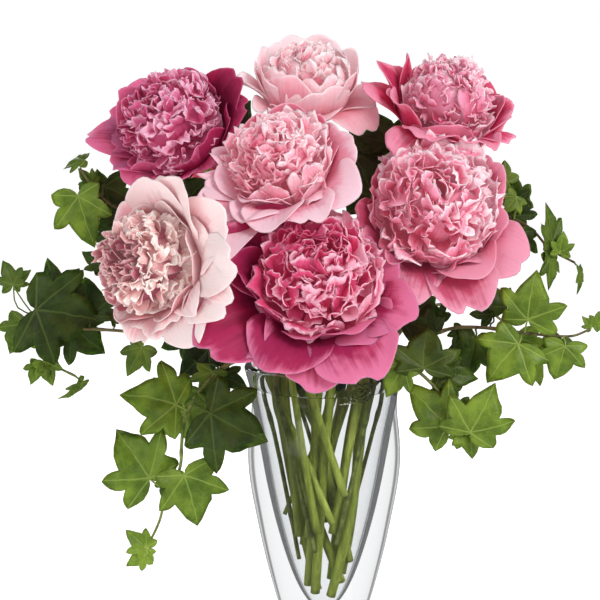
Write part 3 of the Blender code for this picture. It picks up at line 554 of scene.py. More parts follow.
def make_dry_roots(finish):
    """A small tangle of dry brown roots in the vase's mouth, as one piece of thin curled rods."""
    rng = np.random.default_rng(ROOTS_SEED)
    part = np.linspace(0.0, 1.0, ROOT_POINTS)[:, None]
    skins = []
    for _ in range(ROOTS):
        phase = rng.uniform(0, 6.28, 3)
        curls = np.sin(part * rng.uniform(6, 13, 3) + phase) * ROOT_CURLS
        line = np.array(ROOTS_PLACE) + curls + part * ROOT_RUN
        skins.append(tube(line, np.full(len(line), ROOT_RADIUS), ROOT_SIDES))
    add_piece("dry_roots", *joined_skins(skins), finish, "ivy_vine")


# ---------------------------------------------------- petals

GUARD_RUFFLE = 3.9
GUARD_GRID = (17, 17, 1.4)  # rows, columns and how much the rows are packed towards the edge
GUARD_SHEET = 0.7
INNER_GRID = (8, 13, 1.5)
INNER_SHEET = 0.55
INNER_RUFFLE = 2.4
CRUMPLE = 0.8  # how deep a petal's dents are at its edge
HUG_LOOSE = 1.6  # the least room between a head's guard petals and its ball, and how much more there may be
TUFT_SEAT = 0.44  # share of the ball's radius at which a tuft's petals start
TUFT_SINK = 0.16  # and how much lower than that, in the same measure
INWARDS = 0.62  # share of a tuft's petals that curl inwards
TONE_SPREAD = 0.22  # how much the tones of inner petals differ at random
GUARD_TONE_SPREAD = 0.16
GUARD_PAINTED_LIGHT = 0.26  # how much paler guard petals are on their light side
LUMPS = 0.06  # how far the ball of inner petals swells and sinks, as a share of its radius
HEART_SEED = 50  # added to a head's own seed for its inner petals
BAKE_MARGIN = 0.03  # bare strip along the sides of each petal's square in the map for baking
DEEP_SPREAD = 0.16  # square of how far a head's deep spot spreads, against the ball's radius

FINE = 64  # samples of each petal's middle line
GOLDEN_ANGLE = math.radians(137.508)
HUG_START = 5.0  # how far from the ball's lowest point guard petals start, along the ball


def shells(sheets, thickness):
    """Closed shells from open sheets (sheets, rows, columns, 3).

    Each shell has a front and a back, half the thickness to either side along the sheet's normals (row
    direction x column direction), which share the points of the sheet's edge. Also returns, for each face
    corner, the number of its place in the sheets and whether it is on the back, and the points in a shell.
    """
    count, rows, columns = sheets.shape[:3]
    normals = unit(np.cross(np.gradient(sheets, axis=1), np.gradient(sheets, axis=2)))
    inside = (slice(None), slice(1, -1), slice(1, -1))
    front = sheets.copy()
    front[inside] += normals[inside] * thickness / 2
    back = sheets[inside] - normals[inside] * thickness / 2
    size = rows * columns
    hidden = (rows - 2) * (columns - 2)
    place = np.arange(size).reshape(rows, columns)
    under = place.copy()
    under[1:-1, 1:-1] = size + np.arange(hidden).reshape(rows - 2, columns - 2)
    over = grid_quads(place)[:, ::-1]
    steps = np.arange(count)[:, None, None]
    faces = np.concatenate([over, grid_quads(under)])[None] + steps * (size + hidden)
    corners = np.concatenate([over, grid_quads(place)])[None] + steps * size
    behind = np.tile(np.repeat([False, True], over.size), count)
    vertices = np.concatenate([front.reshape(count, -1, 3), back.reshape(count, -1, 3)], axis=1)
    return vertices.reshape(-1, 3), faces.reshape(-1, 4), corners.reshape(-1), behind, size + hidden


def along_line(line, part):
    """Values of sampled lines (petals, FINE) at parts 0 to 1 of them (petals, rows, columns)."""
    place = np.clip(part, 0.0, 1.0) * (FINE - 1)
    low = np.minimum(place.astype(int), FINE - 2)
    rest = place - low
    flat = low.reshape(len(line), -1)
    here = np.take_along_axis(line, flat, axis=1).reshape(part.shape)
    after = np.take_along_axis(line, flat + 1, axis=1).reshape(part.shape)
    return here * (1 - rest) + after * rest


def run_line(start_radius, start_height, heading, length):
    """The (radius, height) lines that start at a point and follow their headings for their lengths."""
    step = (length / (FINE - 1))[:, None]
    middle = (heading[:, 1:] + heading[:, :-1]) / 2
    zero = np.zeros((len(heading), 1))
    radius = np.cumsum(np.cos(middle) * step, axis=1)
    height = np.cumsum(np.sin(middle) * step, axis=1)
    return (
        start_radius[:, None] + np.concatenate([zero, radius], axis=1),
        start_height[:, None] + np.concatenate([zero, height], axis=1),
    )


def petal_reach(form, t):
    """Where the petal's edge lies along its middle line: rounded, with one notch and a frill."""
    edge = 1 - form["round"] * np.abs(t) ** 2.4
    edge = edge - form["notch"] * np.exp(-((t - form["notch_at"]) / 0.17) ** 2)
    return edge - form["frill"] * (0.5 + 0.5 * np.sin(form["frills"] * math.pi * t + 2.0 * form["phase"]))


def petal_half_width(form, q):
    """Half the petal's width: from its narrow claw to its widest place, and a little narrower past it."""
    grown = np.sin(0.5 * math.pi * np.clip(q / form["widest"], 0, 1)) ** 1.2
    past = np.clip((q - form["widest"]) / (1 - form["widest"]), 0, 1)
    return form["width"] * (form["claw"] + (1 - form["claw"]) * grown) * (1 - form["taper"] * past ** 2)


def petal_ruffles(form, q, t):
    """How far ruffles, which grow towards the edge, and dents lift a point off the cupped surface."""
    margin = q ** 3 * (0.4 + 0.6 * np.abs(t) ** 1.5) + 0.3 * q * np.abs(t) ** 4
    wave = np.sin(form["waves"] * math.pi * t + form["phase"] + 1.5 * q)
    wave = wave + 0.3 * np.sin(form["waves"] * 2.1 * math.pi * t + 1.7 * form["phase"] + 4 * q)
    dents = np.sin(7 * q + 3 * form["phase"] + 1.5 * t) + np.sin(3.6 * t - 4 * q + 2 * form["phase"])
    return form["ruffle"] * margin * wave, form["crumple"] * q * dents


def petal_sheets(radius, height, azimuth, form, rows, columns, packed):
    """Petals as sheets (petals, rows, columns, 3) in the flower's frame.

    Rows run from base to edge, packed towards the edge, and columns from side to side, packed at the sides.
    A point lies at q on the petal's middle line, and t from -1 to 1 of the half width along an arc to its
    side. The arc's curvature goes from cup_low to cup_high. twist turns the petal about its middle line,
    and sway carries it sideways.
    """
    for key, value in form.items():
        form[key] = np.broadcast_to(np.asarray(value, float), azimuth.shape)[:, None, None]
    s = (1 - (1 - np.linspace(0.0, 1.0, rows)) ** packed)[None, :, None]
    t = np.linspace(-1.0, 1.0, columns)[None, None, :]
    t = 1.4 * t - 0.4 * t ** 3
    q = s * petal_reach(form, t)
    slope_r, slope_z = np.gradient(radius, axis=1), np.gradient(height, axis=1)
    heading = np.arctan2(along_line(slope_z, q), along_line(slope_r, q))
    half = petal_half_width(form, q)
    bow = form["cup_low"] + (form["cup_high"] - form["cup_low"]) * q ** 1.5
    angle = bow * half * t
    across = half * t * np.sinc(angle / math.pi)
    lift = half * t * angle / 2 * np.sinc(angle / FULL_TURN) ** 2
    ruffles, dents = petal_ruffles(form, q, t)
    lift = lift + ruffles + dents
    turn = form["twist"] * q ** 2
    side = across * np.cos(turn) - lift * np.sin(turn) + form["sway"] * q ** 2
    up = across * np.sin(turn) + lift * np.cos(turn)
    out = along_line(radius, q) - up * np.sin(heading)
    z = along_line(height, q) + up * np.cos(heading)
    a = azimuth[:, None, None]
    return np.stack([out * np.cos(a) - side * np.sin(a), out * np.sin(a) + side * np.cos(a), z], axis=-1)


def head_axes(peony):
    """The flower's own frame as rows: its right as seen from its front, its top, and the way it faces."""
    facing = unit(peony["faces"])
    top = unit(np.array((0.0, 0.0, 1.0)) - facing * facing[2])
    return np.stack([np.cross(top, facing), top, facing])


def add_petals(name, peony, sheets, tone, thickness, finish, slot, node):
    """Petal sheets of one head as one piece: shells in place, a map along each petal and a map for baking.

    The baking map gives each petal a square of its own, the front in its left half, the back in its right.
    """
    count, rows, columns = sheets.shape[:3]
    vertices, faces, corners, behind, each = shells(sheets, thickness)
    petal, place = np.divmod(corners, rows * columns)
    own = np.stack([place % columns / (columns - 1), place // columns / (rows - 1)], axis=-1)
    per_row = math.ceil(math.sqrt(count))
    square = np.stack([petal % per_row, petal // per_row], axis=-1)
    half = BAKE_MARGIN + (0.5 - 2 * BAKE_MARGIN) * own[:, 0] + 0.5 * behind
    inside = np.stack([half, BAKE_MARGIN + (1 - 2 * BAKE_MARGIN) * own[:, 1]], axis=-1)
    maps = {"petal": own, "OFBake": (square + inside) / per_row}
    placed = vertices @ head_axes(peony) + np.array(peony["ball"], float)
    add_piece(name, placed, faces.tolist(), finish, slot, [node], maps, np.repeat(tone, each))


def reach_at(peony, azimuth):
    """How far the guard petals reach past the ball at an azimuth, between the six given directions."""
    reach = np.array(peony["reach"] + peony["reach"][:1], float)
    return np.interp(np.mod(azimuth, FULL_TURN), np.linspace(0, FULL_TURN, LOBES + 1), reach)


def guard_lines(leaves_at, bends, reach, hug):
    """Middle lines of guard petals: along the ball from underneath to leaves_at, then bending back."""
    arc = hug * leaves_at
    length = arc + reach - HUG_START
    run = HUG_START + np.linspace(0.0, 1.0, FINE)[None] * length[:, None]
    free = np.clip((run - arc[:, None]) / reach[:, None], 0, 1)
    heading = np.minimum(run / hug[:, None], leaves_at[:, None]) - bends[:, None] * free ** 1.15
    angle = HUG_START / hug
    return run_line(hug * np.sin(angle), -hug * np.cos(angle), heading, length)


def stacked(groups):
    """Groups of petal values by name, joined end to end."""
    joined = {}
    for key in groups[0]:
        joined[key] = np.concatenate([np.atleast_1d(group[key]).astype(float) for group in groups])
    return joined


def spaced(count, jitter, rng):
    """Azimuths at even steps round the head, each moved by up to a share of a step."""
    return FULL_TURN * (np.arange(count) + rng.uniform(-jitter, jitter, count)) / count


def guard_layer(peony, rng, count, first, leaves, bends, reach, width):
    """Values of one even layer of guard petals."""
    azimuth = math.radians(first) + spaced(count, 0.25, rng)
    return dict(
        azimuth=azimuth,
        leaves=np.radians(peony["leaves_at"] + leaves + rng.uniform(-6, 6, count)),
        bends=np.radians(peony["bends"] * bends + rng.uniform(-18, 18, count)),
        reach=reach * reach_at(peony, azimuth) * rng.uniform(0.85, 1.1, count) + 3.0,
        width=peony["radius"] * width * rng.uniform(0.85, 1.15, count),
        cup=rng.uniform(-0.012, 0.02, count),
        sway=rng.uniform(-6, 6, count),
        twist=rng.uniform(-0.3, 0.3, count),
    )


def placed_guard(azimuth, leaves, bends, reach, width, cup, twist=0.0, sway=0.0):
    """Values of one guard petal that has its own place."""
    azimuth, leaves, bends = map(math.radians, (azimuth, leaves, bends))
    return dict(
        azimuth=azimuth, leaves=leaves, bends=bends, reach=reach, width=width, cup=cup, twist=twist,
        sway=sway,
    )


def make_guards(name, peony, look, finish):
    """The guard petals of a head: they hug the ball of inner petals from below and then spread."""
    rng = np.random.default_rng(look["seed"])
    groups = [guard_layer(peony, rng, *layer) for layer in look["layers"]]
    groups += [placed_guard(*petal) for petal in look["petals"]]
    parts = stacked(groups)
    azimuth = parts["azimuth"]
    count = len(azimuth)
    hug = peony["radius"] + HUG_LOOSE + HUG_LOOSE * rng.uniform(0, 1, count)
    radius, height = guard_lines(parts["leaves"], parts["bends"], parts["reach"], hug)
    form = dict(
        width=parts["width"], claw=0.2, widest=0.76, taper=0.1,
        round=rng.uniform(0.2, 0.36, count), notch=rng.uniform(0.0, 0.08, count),
        notch_at=rng.uniform(-0.4, 0.4, count), frill=0.016, frills=rng.uniform(1.0, 2.4, count),
        waves=rng.uniform(0.8, 1.7, count), phase=rng.uniform(0, 6.28, count), cup_low=1 / hug,
        cup_high=parts["cup"], ruffle=GUARD_RUFFLE * rng.uniform(0.5, 1.4, count), crumple=CRUMPLE,
        twist=parts["twist"], sway=parts["sway"],
    )
    sheets = petal_sheets(radius, height, azimuth, form, *GUARD_GRID)
    # painted light: guard petals are paler on the side turned to the light
    lit = GUARD_PAINTED_LIGHT * np.cos(azimuth - math.radians(look["guard_painted_light"]))
    tone = np.clip(0.5 + lit + rng.uniform(-GUARD_TONE_SPREAD, GUARD_TONE_SPREAD, count), 0.0, 1.0)
    slot = look["tint"] + "_guard_petal"
    add_petals(name + "_guards", peony, sheets, tone, GUARD_SHEET, finish, slot, name + "_guard_petals")


def tuft_lines(size, polar, curl, ending):
    """Middle lines of inner petals: from halfway out in the ball almost straight to its surface.

    Their last half turns by curl, inwards where it is positive. ending is where they end, as a share of
    size.
    """
    way_out = np.stack([np.sin(polar), np.cos(polar)])
    seat = size * (TUFT_SEAT * way_out - np.array([[0.0], [TUFT_SINK]]))
    way = size * ending * way_out - seat
    straight = np.arctan2(way[1], way[0])
    part = np.linspace(0.0, 1.0, FINE)[None]
    belly = 0.5 * (1 - 1.6 * part) * np.clip(polar, 0.0, 1.4)[:, None]
    turn = np.clip((part - 0.5) / 0.5, 0, 1) ** 1.3
    heading = straight[:, None] - belly + curl[:, None] * turn
    length = np.hypot(*way)
    lines = run_line(*seat, heading, length)
    starts = [start[:, None] for start in seat]
    reached = np.hypot(*(line[:, -1] - start for line, start in zip(lines, seat)))
    grow = np.minimum(length / reached, 1.5)[:, None]
    return [start + (line - start) * grow for line, start in zip(lines, starts)]


def tufts(look, size, rng, count, first, last):
    """Inner petals whose tips fill the ball's surface between two polar angles, set by the golden angle."""
    low, high = math.cos(math.radians(first)), math.cos(math.radians(last))
    polar = np.arccos(low + (high - low) * (np.arange(count) + 0.5) / count) + rng.uniform(-0.1, 0.1, count)
    polar = np.abs(polar)
    azimuth = np.arange(count) * GOLDEN_ANGLE + rng.uniform(-0.3, 0.3, count)
    curl = rng.uniform(0.2, 1.5, count) * np.where(rng.uniform(0, 1, count) < INWARDS, 1, -0.9)
    lumps = 1 + LUMPS * np.sin(3 * azimuth + look["seed"]) * np.sin(2.6 * polar + look["seed"])
    ending = look["inner_size"] * lumps * (1 + rng.uniform(-0.1, 0.07, count))
    return *tuft_lines(size, polar, curl, ending), dict(
        azimuth=azimuth,
        width=size * look["inner_width"] * rng.uniform(0.5, 1.35, count),
        ruffle=INNER_RUFFLE * rng.uniform(0.5, 1.4, count),
        cup=rng.uniform(-3.0, 5.0, count) / size,
        twist=rng.uniform(-1.6, 1.6, count),
        sway=rng.uniform(-7, 7, count),
    )


def collar(size, rng, count, share, leaves, curl, width, reach=0.26):
    """Broad petals that hug the ball at a share of its size up to an angle, and then turn by curl."""
    hug = size * share * rng.uniform(0.95, 1.04, count)
    leaves = np.radians(leaves + rng.uniform(-14, 14, count))
    reach = size * reach * rng.uniform(0.6, 1.4, count)
    lines = guard_lines(leaves, -curl * rng.uniform(0.2, 1.6, count), reach, hug)
    return *lines, dict(
        azimuth=spaced(count, 0.35, rng) + rng.uniform(0, 6.28),
        width=size * width * rng.uniform(0.75, 1.25, count),
        ruffle=INNER_RUFFLE * 0.9 * rng.uniform(0.6, 1.5, count),
        cup=rng.uniform(0.2, 1.8, count) / size,
        twist=rng.uniform(-0.3, 0.3, count),
        sway=rng.uniform(-5, 5, count),
    )


def petal_tones(azimuth, across, look, rng):
    """How pale each inner petal is, 0 to 1: painted light makes it paler on the head's lit side, and it is
    darker round its deep spot.

    across is how far from the head's axis each petal ends. The deep spot is given in the same measure.
    """
    # painted light: petals on the side that the light falls on are paler
    side = np.cos(azimuth - math.radians(look["painted_light_side"])) * across
    x, y, depth = look["deep_spot"]
    away = (across * np.cos(azimuth) - x) ** 2 + (across * np.sin(azimuth) - y) ** 2
    tone = 0.5 + look["painted_light_contrast"] * side - depth * np.exp(-away / DEEP_SPREAD)
    return np.clip(tone + rng.uniform(-TONE_SPREAD, TONE_SPREAD, len(azimuth)), 0.0, 1.0)


def make_heart(name, peony, look, finish):
    """The ball of inner petals: broad ones that hug it, and ruffled tufts that fill its front."""
    rng = np.random.default_rng(look["seed"] + HEART_SEED)
    size = peony["radius"]
    groups = [collar(size, rng, *ring) for ring in look["collars"]]
    groups += [tufts(look, size, rng, *zone) for zone in look["tufts"]]
    radius, height = (np.concatenate([group[k] for group in groups]) for k in (0, 1))
    parts = stacked([group[2] for group in groups])
    count = len(radius)
    form = dict(
        width=parts["width"], claw=0.3, widest=0.8, taper=0.08,
        round=rng.uniform(0.06, 0.24, count), notch=rng.uniform(0.0, 0.14, count),
        notch_at=rng.uniform(-0.5, 0.5, count), frill=0.07, frills=rng.uniform(1.5, 3.2, count),
        waves=rng.uniform(0.9, 2.1, count), phase=rng.uniform(0, 6.28, count), cup_low=1.0 / size,
        cup_high=parts["cup"], ruffle=parts["ruffle"], crumple=CRUMPLE, twist=parts["twist"],
        sway=parts["sway"],
    )
    sheets = petal_sheets(radius, height, parts["azimuth"], form, *INNER_GRID)
    across = np.minimum(radius[:, -1] / size, 1.0)
    tone = petal_tones(parts["azimuth"], across, look, rng)
    slot = look["tint"] + "_inner_petal"
    add_petals(name + "_heart", peony, sheets, tone, INNER_SHEET, finish, slot, name + "_inner_petals")


# ---------------------------------------------------- materials

def shade(red, green, blue):
    """A colour from its 0 to 255 screen values, made linear, with full alpha."""
    screen = np.array([red, green, blue]) / 255.0
    linear = np.where(screen <= 0.04045, screen / 12.92, ((screen + 0.055) / 1.055) ** 2.4)
    return (*linear.tolist(), 1.0)


class Nodes:
    """A node tree under construction, and short calls that add and link its nodes."""

    def __init__(self, tree):
        self.tree = tree

    def node(self, kind, settings=None, **inputs):
        """Adds a node, sets its properties and feeds its inputs.

        An input is given by its name, with _ for a space, or by i and its number.
        """
        made = self.tree.nodes.new(kind)
        for key, value in (settings or {}).items():
            setattr(made, key, value)
        for key, value in inputs.items():
            place = int(key[1:]) if key[0] == "i" and key[1:].isdigit() else key.replace("_", " ")
            self.feed(made.inputs[place], value)
        return made

    def feed(self, socket, value):
        """Links the socket to another node's output, or sets its value."""
        if isinstance(value, bpy.types.NodeSocket):
            self.tree.links.new(value, socket)
        else:
            socket.default_value = value

    def math(self, operation, first, second=0.0, clamp=False):
        """One step of arithmetic on two numbers or sockets."""
        made = self.node("ShaderNodeMath", dict(operation=operation, use_clamp=clamp), i0=first, i1=second)
        return made.outputs[0]

    def plus(self, first, second):
        return self.math("ADD", first, second)

    def minus(self, first, second):
        return self.math("SUBTRACT", first, second)

    def times(self, first, second):
        return self.math("MULTIPLY", first, second)

    def most(self, first, second):
        return self.math("MAXIMUM", first, second)

    def choose(self, factor, first, second):
        """The first number where the factor is 0 and the second where it is 1."""
        return self.node("ShaderNodeMix", None, i0=factor, i2=first, i3=second).outputs[0]

    def spread(self, value, low, high, to_low=0.0, to_high=1.0):
        """Maps a value from one range to another, clamped, with smooth ends."""
        made = self.node("ShaderNodeMapRange", dict(interpolation_type="SMOOTHSTEP"), i0=value)
        for socket, number in zip(made.inputs[1:5], (low, high, to_low, to_high)):
            socket.default_value = number
        return made.outputs[0]

    def split(self, vector):
        """The three numbers of a vector."""
        return self.node("ShaderNodeSeparateXYZ", None, i0=vector).outputs


class Finish(Nodes):
    """A material under construction. Colours are given by their 0 to 255 screen values."""

    def __init__(self, name):
        self.material = bpy.data.materials.new(name)
        self.material.use_nodes = True
        super().__init__(self.material.node_tree)
        self.shader = self.tree.nodes["Principled BSDF"]
        self.output = self.tree.nodes["Material Output"]

    def noise(self, vector, scale, detail=3.0, roughness=0.5):
        """Soft random clouds, 0 to 1, about scale of them in one unit of the vector."""
        settings = dict(Vector=vector, Scale=scale, Detail=detail, Roughness=roughness)
        return self.node("ShaderNodeTexNoise", None, **settings).outputs[0]

    def mix(self, factor, first, second):
        """The first colour where the factor is 0 and the second where it is 1."""
        kind = dict(data_type="RGBA")
        return self.node("ShaderNodeMix", kind, i0=factor, i6=first, i7=second).outputs[2]

    def ramp(self, factor, *stops):
        """A smooth colour ramp from (position, colour) pairs."""
        made = self.node("ShaderNodeValToRGB", None, Fac=factor)
        ramp = made.color_ramp
        ramp.interpolation = "EASE"
        while len(ramp.elements) < len(stops):
            ramp.elements.new(0.5)
        for element, (position, colour) in zip(ramp.elements, stops):
            element.position = position
            element.color = shade(*colour)
        return made.outputs[0]

    def place(self):
        """Where a point of the surface is on its own object."""
        return self.node("ShaderNodeTexCoord").outputs["Object"]

    def tone(self):
        """The piece's tone at a point of its surface, which holds random differences and painted light and
        shade.
        """
        return self.node("ShaderNodeAttribute", dict(attribute_name="tone")).outputs["Fac"]

    def map(self, name):
        """Where a point of the surface is on one of the piece's UV maps."""
        return self.node("ShaderNodeUVMap", dict(uv_map=name)).outputs[0]

    def bump(self, strength, distance, height):
        """Normals of a surface with fine relief, whose height is given against distance in metres."""
        return self.node(
            "ShaderNodeBump", None, Strength=strength, Distance=distance, Height=height,
        ).outputs[0]

    def surface(self, **inputs):
        """Feeds the shader's inputs, by name with _ for a space."""
        for key, value in inputs.items():
            self.feed(self.shader.inputs[key.replace("_", " ")], value)


# glow: how strongly the petals give out painted light, a faint glow that lifts their shade
GUARD_SKIN = dict(crinkle=0.4, clouds=0.45, glow=0.04, rough=0.5, gloss=0.3)
INNER_SKIN = dict(crinkle=1.6, clouds=0.6, glow=0.09, rough=0.6, gloss=0.2)


def petal_finish(name, colours, crinkle, clouds, glow, rough, gloss):
    """Petal: a deep colour at its base, partly its own and partly painted shade where the petals overlap,
    its own colour along it, a pale thin rim and lengthwise streaks.

    The map "petal" runs across the petal in u and along it in v. crinkle is how crumpled the tips look, and
    clouds how much the colour wanders. glow is painted light: a faint glow of the body colour that stands
    for the light that comes through thin petals and lifts their shade.
    """
    deep, body, rim = colours
    made = Finish(name)
    across, along, _ = made.split(made.map("petal"))
    aside = made.math("ABSOLUTE", made.minus(across, 0.5))
    tone = made.tone()
    own = made.place()
    streaks = dict(X=made.times(across, 30.0), Y=made.times(along, 1.6), Z=made.times(tone, 40.0))
    fibre = made.noise(made.node("ShaderNodeCombineXYZ", None, **streaks).outputs[0], 1.0, 2.0)
    cloud = made.noise(own, 70.0, 2.0)
    shifted = along
    # tone shifts the colour: random differences between petals and the painted light of the head's lit side
    for value, share in ((cloud, clouds), (fibre, 0.3), (tone, 1.1)):
        shifted = made.plus(shifted, made.times(made.minus(value, 0.5), share))
    shifted = made.plus(shifted, made.times(aside, 0.25))
    # deep at the base: the petal's own deeper colour and painted shade where the petals overlap
    colour = made.ramp(shifted, (0.15, deep), (0.7, body), (1.4, rim))
    edge = made.most(made.spread(along, 0.9, 0.99), made.spread(aside, 0.46, 0.495))
    # the pale rim is stronger where the tone, with its painted light, is higher
    pale = made.times(edge, made.times(made.plus(tone, 0.35), 0.5))
    colour = made.mix(pale, colour, shade(*rim))
    crumple = made.noise(own, 420.0, 2.0, 0.6)
    crumpled = made.times(made.times(crumple, made.spread(along, 0.35, 0.95)), crinkle)
    bump = made.bump(0.6, 0.001, made.plus(made.times(fibre, 0.6), crumpled))
    made.surface(Base_Color=colour, Normal=bump, Roughness=rough, Specular_IOR_Level=gloss)
    made.surface(Subsurface_Weight=0.35, Subsurface_Radius=(0.004, 0.0016, 0.0018), Subsurface_Scale=1.0)
    # painted light: a faint glow of the body colour, for light through thin petals, that lifts their shade
    made.surface(Emission_Color=shade(*body), Emission_Strength=glow)
    return made.material


def clear_finish(name, colour, bending):
    """Clear glass or water. Light from the lamps passes straight through it to what is inside."""
    made = Finish(name)
    made.surface(Base_Color=colour, Roughness=0.0, IOR=bending, Transmission_Weight=1.0)
    made.surface(Coat_Weight=0.6, Coat_Roughness=0.0, Coat_IOR=1.5)
    lamp = made.node("ShaderNodeLightPath").outputs["Is Shadow Ray"]
    through = made.node("ShaderNodeBsdfTransparent", None, Color=colour).outputs[0]
    mixed = made.node("ShaderNodeMixShader", None, i0=lamp, i1=made.shader.outputs[0], i2=through)
    made.feed(made.output.inputs[0], mixed.outputs[0])
    return made.material


def stem_finish():
    """Peony stem: smooth green, lighter in long patches, with a dull skin."""
    made = Finish("peony_stem_skin")
    stretched = made.node("ShaderNodeMapping", None, Vector=made.place(), Scale=(1.0, 1.0, 0.16)).outputs[0]
    patches = made.noise(stretched, 70.0, 3.0, 0.55)
    fine = made.noise(stretched, 420.0, 2.0)
    colour = made.ramp(patches, (0.25, (118, 132, 36)), (0.5, (160, 178, 60)), (0.78, (200, 214, 98)))
    colour = made.mix(0.35, colour, made.ramp(fine, (0.3, (70, 86, 20)), (0.7, (176, 190, 92))))
    made.surface(Base_Color=colour, Normal=made.bump(0.25, 0.0004, fine), Roughness=0.42)
    return made.material


def vine_finish():
    """Ivy vine: thin brown bark with pale specks, and green skin where it stands in the vase."""
    made = Finish("ivy_vine_bark")
    own = made.place()
    patches = made.noise(own, 160.0, 4.0, 0.6)
    bark = made.ramp(patches, (0.3, (62, 50, 34)), (0.55, (104, 92, 52)), (0.8, (150, 136, 92)))
    green = made.ramp(patches, (0.3, (84, 98, 34)), (0.8, (150, 164, 78)))
    colour = made.mix(made.spread(made.split(own)[2], 0.23, 0.3), green, bark)
    made.surface(Base_Color=colour, Normal=made.bump(0.5, 0.0004, patches), Roughness=0.6)
    return made.material


def vein_lines(made, x, y):
    """Where the five veins run on a blade's plane, 0 to 1. Each thins out on its way from the stalk.

    A vein at angle a is where |y cos a - x sin a| is small and x cos a + y sin a is positive.
    """
    veins = None
    for angle in VEIN_ANGLES:
        c, s = math.cos(math.radians(angle)), math.sin(math.radians(angle))
        off = made.math("ABSOLUTE", made.minus(made.times(y, c), made.times(x, s)))
        ahead = made.plus(made.times(x, c), made.times(y, s))
        width = made.minus(0.026, made.times(ahead, 0.018))
        thin = made.math("SUBTRACT", 1.0, made.math("DIVIDE", off, width), clamp=True)
        vein = made.times(thin, made.math("GREATER_THAN", ahead, -0.01))
        veins = vein if veins is None else made.most(veins, vein)
    return veins


def leaf_finish():
    """Ivy leaf: waxy green with five pale veins that leave the stalk and fainter ones between them.

    The map "blade" holds the blade's own plane: u = 0.5 + y / 2 and v = 0.3 + 0.6 x, in leaf lengths, with
    the stalk at x = y = 0.
    """
    made = Finish("ivy_leaf_blade")
    place = made.map("blade")
    u, v, _ = made.split(place)
    y = made.times(made.minus(u, 0.5), 2.0)
    x = made.math("DIVIDE", made.minus(v, 0.3), 0.6)
    wobble = made.times(made.minus(made.noise(place, 9.0, 2.0), 0.5), 0.05)
    veins = vein_lines(made, x, made.plus(y, wobble))
    cells = made.node("ShaderNodeTexVoronoi", dict(feature="DISTANCE_TO_EDGE"), Vector=place, Scale=11.0)
    net = made.spread(cells.outputs[0], 0.0, 0.07, 1.0, 0.0)
    tone = made.tone()
    blotch = made.noise(made.place(), 60.0, 3.0, 0.55)
    dark = made.ramp(blotch, (0.3, (26, 38, 10)), (0.75, (48, 64, 20)))
    bright = made.ramp(blotch, (0.3, (84, 110, 24)), (0.75, (130, 156, 44)))
    # painted shade and light: tone mixes a dark green for leaves in shade and a bright one for lit leaves
    green = made.mix(tone, dark, bright)
    pale = made.mix(tone, shade(76, 94, 40), shade(160, 180, 84))
    lines = made.most(made.times(veins, 0.7), made.times(net, 0.12))
    height = made.minus(made.times(blotch, 0.3), made.most(veins, made.times(net, 0.5)))
    made.surface(Base_Color=made.mix(lines, green, pale), Normal=made.bump(0.4, 0.0006, height))
    made.surface(Roughness=0.42, Specular_IOR_Level=0.3, Subsurface_Weight=0.1)
    made.surface(Subsurface_Radius=(0.001, 0.002, 0.0005), Subsurface_Scale=1.0)
    return made.material


# ---------------------------------------------------- vase and water

GLASS_COLOUR = (0.98, 0.987, 0.995, 1.0)
WATER_COLOUR = (0.965, 0.985, 0.985, 1.0)
# Both bend light less than real glass and water, because the hollow's width is as it looks from outside.
GLASS_BENDING = 1.12
WATER_BENDING = 1.03
HOLLOW_RINGS = 40
WATER_RINGS = 36
WATER_CLIMB = 1.2  # how far the water's skin climbs the wall over its level
WATER_EDGE = ((0.5, 0.7), (1.5, 0.2), (3.5, 0.0))  # (away from the wall, over the level)


def make_vase():
    """The vase: from the middle of the foot, up the outside, over the lip and down the hollow."""
    outer = smooth_line([*OUTSIDE, *LIP, (float(hollow_radius(HOLLOW_TOP)), HOLLOW_TOP)])
    parts = np.linspace(1.0, 0.0, HOLLOW_RINGS)[1:] ** 2.0
    heights = HOLLOW_BOTTOM + (HOLLOW_TOP - HOLLOW_BOTTOM) * parts
    inner = np.column_stack([hollow_radius(heights), heights])
    skin = turned(np.vstack([[(0.0, 0.0)], outer, inner]), VASE_SIDES)
    glass = clear_finish("clear_glass_wall", GLASS_COLOUR, GLASS_BENDING)
    add_piece("vase_glass", *skin, glass, "clear_glass", ["glass_vase"])


def make_water():
    """The water: its skin lies just inside the glass, and its top is drawn up a little at the wall."""
    parts = np.linspace(0.0, 1.0, WATER_RINGS) ** 2.0
    heights = HOLLOW_BOTTOM + (WATER_LEVEL + WATER_CLIMB - HOLLOW_BOTTOM) * parts
    radii = hollow_radius(heights) + WATER_IN_GLASS * (parts > 0)
    wall = np.column_stack([radii, heights - WATER_IN_GLASS * (parts == 0)])
    edge = float(hollow_radius(WATER_LEVEL))
    rise = [(edge - inwards, WATER_LEVEL + up) for inwards, up in WATER_EDGE]
    top = [(radius, WATER_LEVEL) for radius in (*np.linspace(edge - 6.0, 6.0, 6), 0.0)]
    skin = turned(np.vstack([wall, rise, top]), VASE_SIDES)
    water = clear_finish("still_water", WATER_COLOUR, WATER_BENDING)
    add_piece("vase_water", *skin, water, "water", ["water"])


# ---------------------------------------------------- ivy

VEIN_ANGLES = (0.0, 51.0, -51.0, 105.0, -105.0)
